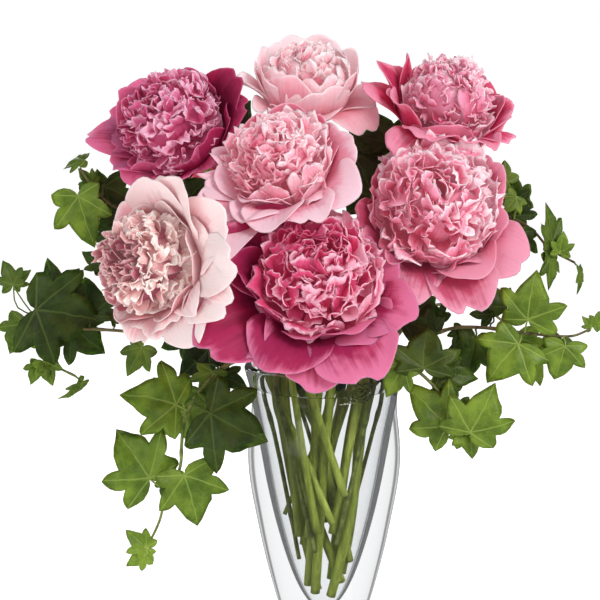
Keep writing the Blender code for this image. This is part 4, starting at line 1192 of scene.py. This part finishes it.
# Half the outline of a blade in leaf lengths: cubic curves from the stalk's notch past the two side lobes
# and the two hollows between the lobes to the tip.
HALF_BLADE = (
    ((-0.01, 0.015), (-0.16, 0.02), (-0.29, 0.26), (-0.15, 0.52)),
    ((-0.15, 0.52), (-0.06, 0.55), (0.06, 0.50), (0.13, 0.41)),
    ((0.13, 0.41), (0.16, 0.52), (0.32, 0.60), (0.49, 0.63)),
    ((0.49, 0.63), (0.55, 0.50), (0.50, 0.40), (0.46, 0.32)),
    ((0.46, 0.32), (0.60, 0.33), (0.82, 0.15), (1.00, 0.00)),
)
EDGE_STEPS = 5  # points along each curve of the outline
BLADE_RINGS = np.array((0.2, 0.42, 0.64, 0.84))
BLADE_THICKNESS = 0.45
VEIN_DEPTH = 0.018  # in leaf lengths, as is the swell of the skin beside a vein
VEIN_SWELL = 0.02
STALK_SIDES = 6
STALK_STEPS = 3
STALK_ON_MAP = (0.3, 0.0)  # the place on the blade's plane whose colour the stalk takes
KNOT_EVERY = 19  # points of a vine's line from one knot to the next
KNOT_SWELL = 0.28
LEAF_SEED = 300
SMALL_LEAF_SEED = 400


def blade_outline():
    """The whole outline, anticlockwise from the tip, as points in leaf lengths."""
    u = np.linspace(0.0, 1.0, EDGE_STEPS, endpoint=False)[:, None]
    weights = ((1 - u) ** 3, 3 * u * (1 - u) ** 2, 3 * u ** 2 * (1 - u), u ** 3)
    edges = [sum(weight * np.array(knot) for weight, knot in zip(weights, edge)) for edge in HALF_BLADE]
    half = np.vstack(edges)
    return np.vstack([[(1.0, 0.0)], half[::-1], half * (1, -1)])


def leaf_axes(base, tip, faces):
    """A leaf's own frame as rows: from its stalk to its tip, to its side, and the way its face looks."""
    along = unit(np.subtract(tip, base))
    up = np.asarray(faces, float)
    up = unit(up - along * up.dot(along))
    return np.stack([along, np.cross(up, along), up])


def blade_bends(rng):
    """How one blade bends: its fold, droop, skew and puckers."""
    return dict(
        fold=rng.uniform(0.05, 0.4), droop=rng.uniform(0.1, 0.4), skew=rng.uniform(-0.16, 0.16),
        pucker=rng.uniform(0.008, 0.022), phases=rng.uniform(0, 6, 2), lobes=rng.uniform(-0.12, 0.12, 2),
    )


def blade_height(x, y, bends):
    """The blade's height in leaf lengths: its fold, drooping lobes, sunk veins and puckers."""
    away = np.hypot(x, y)
    angle = np.degrees(np.arctan2(y, x))
    height = bends["fold"] * (np.sqrt(y ** 2 + 0.004) - 0.063) - bends["droop"] * away ** 2
    height += bends["skew"] * x * y
    height += np.where(y > 0, *bends["lobes"]) * np.abs(y) * y ** 2 * 3
    for vein in VEIN_ANGLES:
        off = np.abs((angle - vein + 180.0) % 360.0 - 180.0)
        height -= VEIN_DEPTH * np.exp(-(off / 9.0) ** 2) * np.minimum(1.0, 3 * away)
        height += VEIN_SWELL * np.exp(-((off - 22.0) / 10.0) ** 2) * np.minimum(1.0, 2 * away)
    one, other = bends["phases"]
    height += bends["pucker"] * np.sin(9 * x + one) * np.cos(8 * y + other) * np.minimum(1.0, 3 * away)
    return height


def blade_growth(flat, rng):
    """The blade's flat points, moved as leaves differ: a curved middle, uneven sides and a wavy edge."""
    x, y = flat[..., 0], flat[..., 1]
    curve, lean, wide = rng.uniform(-0.12, 0.12), rng.uniform(-0.1, 0.1), rng.uniform(-0.1, 0.1)
    angle = np.arctan2(y, x)
    wave = 1
    for depth, lobes in ((0.022, 9), (0.016, 16)):
        wave = wave + depth * np.sin(lobes * angle + rng.uniform(0, 6))
    moved_x = wave * (x + lean * y)
    moved_y = wave * (y * (1 + wide * np.sign(y)) + curve * x * (1 - x))
    return np.stack([moved_x, moved_y], axis=-1)


def blade_skin(base, tip, faces, width, rng):
    """An ivy blade in place, and its plane coordinates: rings from the stalk's end out to the outline.

    The skin runs from a point under the middle by the rings of the underside to the outline, and by the
    rings of the upper side back to a point over the middle.
    """
    length = float(np.linalg.norm(np.subtract(tip, base)))
    outline = blade_outline()
    rings = BLADE_RINGS[:, None, None] * outline[None]
    flat = np.concatenate([rings, outline[None], rings[::-1]])
    lift = blade_height(flat[..., 0], flat[..., 1], blade_bends(rng)) * length
    grown = blade_growth(flat, rng)
    side = np.concatenate([-np.ones(len(BLADE_RINGS)), [0.0], np.ones(len(BLADE_RINGS))])
    lift = lift + side[:, None] * BLADE_THICKNESS / 2
    shape = np.stack([grown[..., 0] * length, grown[..., 1] * length * width, lift], axis=-1)
    axes = leaf_axes(base, tip, faces)
    middle = np.array([(0, 0, -BLADE_THICKNESS / 2), (0, 0, BLADE_THICKNESS / 2)])
    placed = shape @ axes + np.array(base, float)
    poles = middle @ axes + np.array(base, float)
    vertices, quads = wrapped(placed, poles[0], poles[1])
    plane = np.concatenate([flat.reshape(-1, 2), [(0, 0), (0, 0)]])
    return vertices, quads, plane


def nearest_on(points, place):
    """The point of a polyline nearest to a place."""
    steps = np.diff(points, axis=0)
    parts = np.sum((place - points[:-1]) * steps, axis=1) / np.sum(steps * steps, axis=1)
    spots = points[:-1] + np.clip(parts, 0, 1)[:, None] * steps
    return spots[np.argmin(np.linalg.norm(spots - place, axis=1))]


def stalk_skin(path, base, tip, radius):
    """A leaf's stalk: from inside the vine it bends over to run into the blade's middle."""
    base = np.array(base, float)
    root = nearest_on(path, base)
    reach = float(np.linalg.norm(base - root))
    away = unit(base - root)
    along = unit(np.subtract(tip, base))
    middle = (root + away * 0.45 * reach) * 0.5 + (base - along * 0.4 * reach) * 0.5
    knots = [root, root + away * 0.3 * reach, middle, base - along * 0.8, base + along * 2.0]
    line = smooth_line(knots, STALK_STEPS)
    return tube(line, np.linspace(radius * 1.25, radius * 0.85, len(line)), STALK_SIDES)


def make_leaf(name, leaf, paths, finish, seed, stands_for=()):
    """A blade with its stalk as one piece. The stalk lies on the map's middle vein, so it is pale green."""
    vine, base, tip, faces, width, tone = leaf
    rng = np.random.default_rng(seed)
    vertices, blade_faces, plane = blade_skin(base, tip, faces, width, rng)
    size = float(np.linalg.norm(np.subtract(tip, base)))
    path = paths[f"ivy_{vine}_vine"][0]
    stalk = stalk_skin(path, base, tip, STALK_RADIUS * min(1.0, 0.55 + size / 70.0))
    both, every = joined_skins([(vertices, blade_faces), stalk])
    plane = np.vstack([plane, np.full((len(stalk[0]), 2), STALK_ON_MAP)])
    corner = np.concatenate(every)
    own = np.column_stack([0.5 + plane[:, 1] / 2, 0.3 + 0.6 * plane[:, 0]])[corner]
    first_upper = len(BLADE_RINGS) * len(blade_outline())
    upper = (corner >= first_upper) & (corner < len(vertices))
    maps = {"blade": own, "OFBake": np.column_stack([own[:, 0] * 0.5 + 0.5 * upper, own[:, 1]])}
    add_piece(name + "_blade", both, every, finish, "ivy_leaf", stands_for, maps, np.full(len(both), tone))


def make_ivy(paths, bark, green):
    """The vines, thicker at their knots, and all their leaves."""
    for name in VINES:
        line, width = smooth_rod(paths[name])
        off_knot = np.arange(len(line)) % KNOT_EVERY - KNOT_EVERY // 2
        knots = 1 + KNOT_SWELL * np.exp(-(off_knot / 1.4) ** 2)
        add_piece(name + "_runner", *tube(line, width * knots, ROD_SIDES), bark, "ivy_vine", [name])
    for number, (name, leaf) in enumerate(LEAVES.items()):
        make_leaf(name, leaf, paths, green, LEAF_SEED + number, [name])
    for number, (name, leaf) in enumerate(SMALL_LEAVES.items()):
        make_leaf(name, leaf, paths, green, SMALL_LEAF_SEED + number)


# ---------------------------------------------------- the flowers' looks

# Layers of guard petals: how many, first azimuth, degrees added to where they leave the ball, share of the
# head's bend, share of its reach, and half width against the ball's radius.
OPEN_LAYERS = ((7, 0, 0, 1.0, 1.0, 0.62), (7, 26, 4, 1.0, 0.8, 0.58))
# Collars: how many petals, the share of the ball's radius that they hug, the angle at which they leave the
# ball, their last turn, and against the ball's radius their half width and, where given, how far they reach
# past where they leave it. The first is packed under the tufts.
# Tufts: how many petals, and the polar angles between which they end.
# Lights: azimuths of the side of the inner petals and of the guard petals that is painted paler, as painted
# light, how much paler the former is, and the deep spot's place and depth.
PLAIN_LOOK = dict(
    layers=OPEN_LAYERS, petals=(), inner_size=0.98, inner_width=0.17,
    painted_light_side=60, guard_painted_light=60, painted_light_contrast=0.32, deep_spot=(0.0, 0.0, 0.2),
    collars=((7, 0.68, 150, 0.5, 0.62), (9, 0.93, 56, -0.6, 0.42), (9, 0.96, 68, -0.5, 0.38)),
    tufts=((60, 0, 42), (104, 42, 108)),
)

# Guard petals with places of their own: azimuth, angle where it leaves the ball, bend, reach, half width,
# curvature across, and where given its twist and sideways sway.
PETALS_1 = (
    (164, 84, 0, 24, 20, 0.02), (150, 80, 10, 18, 18, 0.02, 0.2), (195, 60, 58, 46, 20, 0.01, 0.2),
    (250, 74, 20, 22, 20, 0.05, 0.3), (259, 60, 50, 30, 12, 0.01, -0.2), (226, 62, 50, 30, 18, 0.01, 0.1),
    (80, 82, 10, 16, 18, 0.02, 0.1), (112, 82, 5, 13, 18, 0.02), (44, 62, 58, 36, 27, 0.006, 0.1),
    (16, 60, 60, 34, 23, 0.004, -0.1), (13, 74, 30, 16, 18, 0.01, 0.1), (311, 76, 12, 20, 20, 0.03),
    (336, 84, 0, 14, 20, 0.02, -0.2), (285, 62, 50, 28, 20, 0.01),
)
PETALS_2 = (
    (244, 68, -30, 34, 25, 0.026), (292, 66, -30, 26, 27, 0.024), (205, 66, -22, 32, 22, 0.026),
    (335, 66, -22, 30, 22, 0.026, 0.1), (352, 62, -18, 32, 18, 0.02), (182, 62, -18, 34, 18, 0.02),
    (150, 66, -22, 34, 24, 0.024), (110, 66, -24, 36, 24, 0.024), (70, 66, -24, 38, 24, 0.024, 0.1),
    (30, 66, -22, 34, 24, 0.024), (320, 48, 128, 44, 24, 0.0, 0.1), (346, 50, 70, 36, 20, 0.002, 0.2),
    (188, 60, 44, 34, 15, 0.01, 0.1), (266, 55, 84, 25, 30, 0.004, -0.1), (225, 54, 70, 30, 20, 0.004),
    (60, 60, 50, 26, 24, 0.004), (120, 60, 50, 24, 24, 0.004),
)
PETALS_3 = (
    (150, 66, 38, 42, 14, 0.06, 0.2), (131, 84, 0, 26, 9, 0.09), (178, 66, 40, 28, 15, 0.01, 0.2),
    (164, 56, 60, 46, 18, 0.004), (217, 50, 94, 54, 18, 0.004, 0.1), (230, 58, 64, 42, 23, 0.006, 0.2),
    (276, 60, 58, 36, 23, 0.012, -0.2), (262, 54, 70, 42, 17, 0.0), (330, 72, 26, 24, 24, 0.03, 0.1),
    (344, 80, 10, 16, 18, 0.03, -0.1), (300, 60, 58, 36, 13, 0.01), (2, 66, 50, 20, 18, 0.01),
    (40, 66, 46, 22, 24, 0.01), (85, 66, 46, 20, 24, 0.01), (250, 80, 4, 12, 24, 0.02),
)
PETALS_4 = (
    (2, 66, 46, 42, 24, 0.004, 0.3), (330, 60, 60, 58, 26, 0.012, 0.2), (303, 60, 56, 58, 23, 0.004, -0.1),
    (277, 62, 54, 56, 24, 0.002, 0.1), (258, 64, 50, 46, 20, 0.004), (232, 56, 60, 62, 22, 0.0, 0.1),
    (214, 62, 50, 40, 16, 0.006), (197, 60, 50, 40, 7, 0.03), (180, 68, 36, 30, 15, 0.006, 0.2),
    (256, 46, 44, 92, 15, 0.01), (315, 74, 24, 22, 20, 0.016, 0.4), (246, 84, 22, 18, 14, 0.02, 0.4, 4),
    (276, 80, 28, 18, 14, 0.02, -0.4, -4), (90, 82, 2, 22, 24, 0.02), (55, 80, 6, 22, 20, 0.02, 0.1),
    (125, 82, 4, 20, 20, 0.02), (30, 70, 34, 26, 20, 0.01), (155, 72, 30, 20, 18, 0.02),
)
PETALS_5 = (
    (78, 72, 20, 46, 30, 0.004, 0.1), (52, 68, 32, 58, 28, 0.004, -0.1), (110, 78, 10, 14, 19, 0.02),
    (24, 62, 48, 70, 31, 0.004, 0.1), (0, 60, 52, 76, 24, 0.004, 0.1), (341, 58, 54, 76, 25, 0.002),
    (330, 66, 44, 50, 15, 0.02), (320, 60, 54, 66, 26, 0.004, 0.1), (293, 64, 48, 36, 21, 0.006),
    (273, 62, 50, 36, 20, 0.006, 0.1), (250, 70, 30, 22, 18, 0.012), (225, 80, 6, 12, 19, 0.02),
    (170, 82, 24, 14, 13, 0.01), (200, 78, 14, 12, 17, 0.02), (140, 76, 14, 14, 18, 0.02),
    (12, 78, 18, 30, 24, 0.01, 0.1), (312, 76, 20, 26, 24, 0.012, 0.1), (60, 80, 12, 24, 24, 0.012),
)
PETALS_6 = (
    (286, 58, 66, 64, 27, 0.004, 0.1), (258, 60, 62, 58, 18, 0.0, -0.1, -4),
    (321, 60, 60, 52, 28, 0.006, 0.2), (27, 74, 34, 26, 24, 0.002, -0.1, 2), (342, 70, 36, 24, 20, 0.01),
    (244, 58, 66, 54, 15, 0.01, 0.1), (188, 66, 50, 28, 18, 0.004, 0.1), (208, 66, 50, 30, 16, 0.004, -0.1),
    (234, 70, 34, 34, 15, 0.12, 0.2), (275, 76, 34, 18, 17, 0.0, 0.5, 4),
    (306, 72, 40, 22, 16, 0.01, -0.5, -3), (328, 88, 16, 14, 10, 0.03, 0.2), (100, 66, 40, 14, 26, 0.01),
    (140, 66, 40, 18, 26, 0.01), (60, 66, 40, 14, 24, 0.01),
)
PETALS_7 = (
    (215, 54, 66, 82, 33, 0.004), (248, 60, 58, 62, 34, 0.006, 0.1), (293, 58, 60, 72, 33, 0.004),
    (331, 62, 56, 52, 27, 0.008, -0.1), (268, 54, 62, 66, 31, 0.0), (236, 58, 62, 62, 20, 0.0),
    (195, 74, 10, 28, 26, 0.03), (214, 84, -4, 18, 20, 0.03, 0.1), (260, 80, 40, 24, 21, 0.0, 0.45, 3),
    (300, 78, 42, 28, 22, 0.0, -0.4, -3), (335, 80, 8, 14, 18, 0.01), (10, 62, 56, 28, 22, 0.01),
    (45, 62, 56, 18, 26, 0.01), (90, 62, 56, 14, 28, 0.01), (138, 62, 50, 44, 30, 0.01),
    (166, 62, 50, 60, 30, 0.01), (182, 72, 24, 44, 26, 0.02, 0.1),
)

# the base colours are partly the petals' own deeper colour and partly painted shade where petals overlap
TINTS = {  # screen colours of guard petals and of inner ones: base, body and rim
    "magenta": (
        ((104, 6, 48), (164, 38, 88), (216, 112, 154)),
        ((140, 6, 60), (204, 92, 134), (246, 184, 208)),
    ),
    "pale_pink": (
        ((230, 144, 160), (244, 198, 205), (254, 226, 230)),
        ((228, 118, 140), (247, 206, 212), (255, 236, 238)),
    ),
    "rose": (
        ((146, 8, 52), (198, 58, 100), (234, 144, 170)),
        ((178, 20, 72), (230, 148, 174), (254, 218, 226)),
    ),
    "light_pink": (
        ((208, 74, 112), (232, 146, 168), (250, 204, 216)),
        ((200, 50, 96), (244, 172, 188), (255, 224, 230)),
    ),
    "blush": (
        ((208, 134, 142), (228, 172, 178), (250, 222, 222)),
        ((138, 16, 66), (236, 186, 184), (255, 242, 236)),
    ),
    "pink": (
        ((146, 20, 64), (182, 76, 108), (224, 148, 170)),
        ((186, 18, 70), (242, 156, 180), (255, 228, 234)),
    ),
    "hot_pink": (
        ((96, 4, 40), (160, 36, 84), (212, 114, 152)),
        ((156, 6, 52), (212, 76, 120), (250, 190, 208)),
    ),
}

UNDER_LAYER = ((6, 15, 0, 1.0, 0.75, 0.58),)

CUP_COLLARS = (
    (7, 0.68, 150, 0.5, 0.62), (6, 1.0, 118, 0.7, 0.62), (7, 0.98, 98, 0.4, 0.6), (7, 0.97, 72, -0.3, 0.5),
)
CUP_TUFTS = ((60, 0, 50), (44, 50, 84))
LOOSE_COLLARS = (
    (7, 0.68, 150, 0.5, 0.62), (10, 1.0, 92, -0.8, 0.34, 0.36), (11, 1.0, 80, -1.0, 0.38, 0.44),
    (9, 0.97, 66, -0.9, 0.42, 0.46),
)
LOOSE_TUFTS = ((60, 0, 42), (72, 42, 82))
BACK_TUFTS = ((32, 0, 42), (52, 42, 104))

LOOSE = dict(PLAIN_LOOK, layers=UNDER_LAYER, collars=LOOSE_COLLARS, tufts=LOOSE_TUFTS)
BACK = dict(PLAIN_LOOK, tufts=BACK_TUFTS)

LOOKS = {
    "peony_1": dict(
        PLAIN_LOOK, seed=11, tint="magenta", layers=UNDER_LAYER, petals=PETALS_1, inner_width=0.15,
        painted_light_side=340, guard_painted_light=200, deep_spot=(-0.2, 0.1, 0.2),
    ),
    "peony_2": dict(
        PLAIN_LOOK, seed=12, tint="pale_pink", layers=(), petals=PETALS_2, inner_size=0.92, guard_painted_light=90,
        collars=CUP_COLLARS, tufts=CUP_TUFTS,
    ),
    "peony_3": dict(
        PLAIN_LOOK, seed=13, tint="rose", layers=UNDER_LAYER, petals=PETALS_3, inner_size=0.84,
        guard_painted_light=240,
    ),
    "peony_4": dict(
        LOOSE, seed=14, tint="light_pink", petals=PETALS_4, inner_width=0.22, painted_light_side=80,
        guard_painted_light=270, deep_spot=(-0.1, -0.1, 0.25),
    ),
    "peony_5": dict(
        PLAIN_LOOK, seed=15, tint="blush", layers=UNDER_LAYER, petals=PETALS_5, painted_light_side=15,
        guard_painted_light=20, painted_light_contrast=0.42, deep_spot=(-0.08, -0.05, 0.75),
    ),
    "peony_6": dict(
        LOOSE, seed=16, tint="pink", petals=PETALS_6, inner_width=0.19, painted_light_side=30, guard_painted_light=330,
        painted_light_contrast=0.3, deep_spot=(-0.15, 0.1, 0.2),
    ),
    "peony_7": dict(
        LOOSE, seed=17, tint="hot_pink", petals=PETALS_7, inner_width=0.22, painted_light_side=320, guard_painted_light=320,
        painted_light_contrast=0.25, deep_spot=(-0.1, 0.4, 0.3),
    ),
    "peony_8": dict(BACK, seed=18, tint="rose"),
    "peony_9": dict(BACK, seed=19, tint="light_pink"),
    "peony_10": dict(BACK, seed=20, tint="pink"),
}


def make_flowers():
    """Guard petals and inner petals of every head. Each tint has one finish for either kind."""
    finishes = {}
    for tint, (guard, inner) in TINTS.items():
        finishes[tint] = (
            petal_finish(tint + "_guard_skin", guard, **GUARD_SKIN),
            petal_finish(tint + "_inner_skin", inner, **INNER_SKIN),
        )
    for name, look in LOOKS.items():
        guard, inner = finishes[look["tint"]]
        make_guards(name, PEONIES[name], look, guard)
        make_heart(name, PEONIES[name], look, inner)


# ---------------------------------------------------- floor, lights and camera

SOFT_LIGHT = 0.5  # how brightly the white surround lights the object
SEEN_IN_GLOSS = 0.12  # how bright it looks in gloss
SEEN_MIRRORED = 0.18  # and after the glass has mirrored it or a petal has scattered it
BACKDROP = 1.0  # how bright the surround looks through the glass
DARK_GAPS = 0.33  # how bright its gaps look, which draw the dark lines along the glass
BACKDROP_SIDES = 8  # white panels all round, with a gap between each two
BACKDROP_EDGES = (-1.0, -0.82)  # a panel fades to the gap between these cosines of the sides' wave
FLOOR_RADIUS = 60.0
FLOOR_SIDES = 96
FLOOR_DROP = 0.0003  # how far the floor lies under the vase's foot
FLOOR_COLOUR = (0.86, 0.86, 0.86, 1.0)
FLOOR_GLOW = 0.6
WHITE = (1.0, 1.0, 1.0, 1.0)
LENS = 123.06
SENSOR = 36.0
SIGHT = 60.0  # how far the camera sees
CAMERA_PLACE = (-0.019, -1.5844, 0.5337)
CAMERA_DIP = 8.0  # degrees that it looks down
LAMPS = {  # place, size and power
    "key_light": ((0.95, -1.15, 1.35), 0.8, 18.0),
    "fill_light": ((-1.3, -1.4, 0.6), 1.2, 6.0),
    "back_light": ((-0.5, 1.3, 1.2), 0.9, 8.0),
}
LIT_PLACE = (0.0, 0.0, 0.36)


def backdrop_level(made, direction):
    """How bright the surround looks through the glass, in a direction away from the vase.

    Only sight that the glass has just bent meets the panels. What the glass has mirrored, or a petal has
    scattered, stays dim.
    """
    aim = made.split(direction)
    wave = made.math("COSINE", made.times(made.math("ARCTAN2", aim[1], aim[0]), BACKDROP_SIDES))
    panels = made.spread(wave, *BACKDROP_EDGES, DARK_GAPS, BACKDROP)
    path = made.node("ShaderNodeLightPath").outputs
    turned_back = made.plus(path["Diffuse Depth"], path["Glossy Depth"])
    return made.choose(made.math("LESS_THAN", turned_back, 0.5), SEEN_MIRRORED, panels)


def seen_levels(made, direction):
    """Kinds of ray, each with how bright it sees the surround. A later one holds where both do."""
    return (("Is Glossy Ray", SEEN_IN_GLOSS), ("Is Transmission Ray", backdrop_level(made, direction)))


def make_floor():
    """A wide pale disc that glows a little, so that it stays nearly white away from the object.

    Seen through the glass or in gloss it glows as the surround does, so that it doesn't veil what the vase
    holds.
    """
    made = Finish("pale_floor")
    made.surface(Base_Color=FLOOR_COLOUR, Roughness=0.9, Specular_IOR_Level=0.0)
    made.surface(Emission_Color=WHITE, Emission_Strength=FLOOR_GLOW)
    path = made.node("ShaderNodeLightPath").outputs
    outwards = made.node("ShaderNodeVectorMath", dict(operation="NORMALIZE"), i0=made.place()).outputs[0]
    looks = made.shader.outputs[0]
    for ray, level in seen_levels(made, outwards):
        glow = made.node("ShaderNodeEmission", None, Strength=level).outputs[0]
        looks = made.node("ShaderNodeMixShader", None, i0=path[ray], i1=looks, i2=glow).outputs[0]
    made.feed(made.output.inputs[0], looks)
    angles = np.linspace(0.0, FULL_TURN, FLOOR_SIDES, endpoint=False)
    drop = np.full(FLOOR_SIDES, -FLOOR_DROP)
    ring = np.stack([FLOOR_RADIUS * np.cos(angles), FLOOR_RADIUS * np.sin(angles), drop], axis=-1)
    mesh = bpy.data.meshes.new("floor")
    mesh.from_pydata(ring.tolist(), [], [list(range(FLOOR_SIDES))])
    mesh.materials.append(made.material)
    floor = bpy.data.objects.new("floor", mesh)
    bpy.context.scene.collection.objects.link(floor)


def make_world():
    """A white surround, which shows in full to the eye, as panels through the glass, and least in gloss."""
    world = bpy.data.worlds.new("studio")
    bpy.context.scene.world = world
    world.use_nodes = True
    made = Nodes(world.node_tree)
    background = made.tree.nodes["Background"]
    background.inputs["Color"].default_value = WHITE
    path = made.node("ShaderNodeLightPath").outputs
    direction = made.node("ShaderNodeTexCoord").outputs["Generated"]
    strength = SOFT_LIGHT
    for ray, level in (*seen_levels(made, direction), ("Is Camera Ray", 1.0)):
        strength = made.choose(path[ray], strength, level)
    made.feed(background.inputs["Strength"], strength)


def link(name, data):
    """A new object in the scene for a lamp's or camera's data."""
    made = bpy.data.objects.new(name, data)
    bpy.context.scene.collection.objects.link(made)
    return made


def add_lamp(name, place, size, power):
    """A square soft box at a place, turned to the flowers, in metres and watts."""
    data = bpy.data.lights.new(name, "AREA")
    data.shape = "SQUARE"
    data.size = size
    data.energy = power
    lamp = link(name, data)
    lamp.location = place
    lamp.rotation_euler = (Vector(place) - Vector(LIT_PLACE)).to_track_quat("Z", "Y").to_euler()


def make_camera():
    """A long lens level with the flowers, looking a little down."""
    data = bpy.data.cameras.new("camera")
    data.lens = LENS
    data.sensor_width = SENSOR
    data.clip_end = SIGHT
    camera = link("camera", data)
    camera.location = CAMERA_PLACE
    camera.rotation_euler = (math.radians(90.0 - CAMERA_DIP), 0.0, 0.0)
    bpy.context.scene.camera = camera


def light_scene():
    """The three lamps, and plain screen colours."""
    for name, lamp in LAMPS.items():
        add_lamp(name, *lamp)
    settings = bpy.context.scene.view_settings
    settings.view_transform = "Standard"
    settings.look = "None"


def main():
    make_camera()
    paths = all_routes()
    make_vase()
    make_water()
    green = stem_finish()
    make_stems(paths, green)
    make_side_shoots(green)
    make_flowers()
    bark = vine_finish()
    make_ivy(paths, bark, leaf_finish())
    make_dry_roots(bark)
    make_floor()
    make_world()
    light_scene()


main()
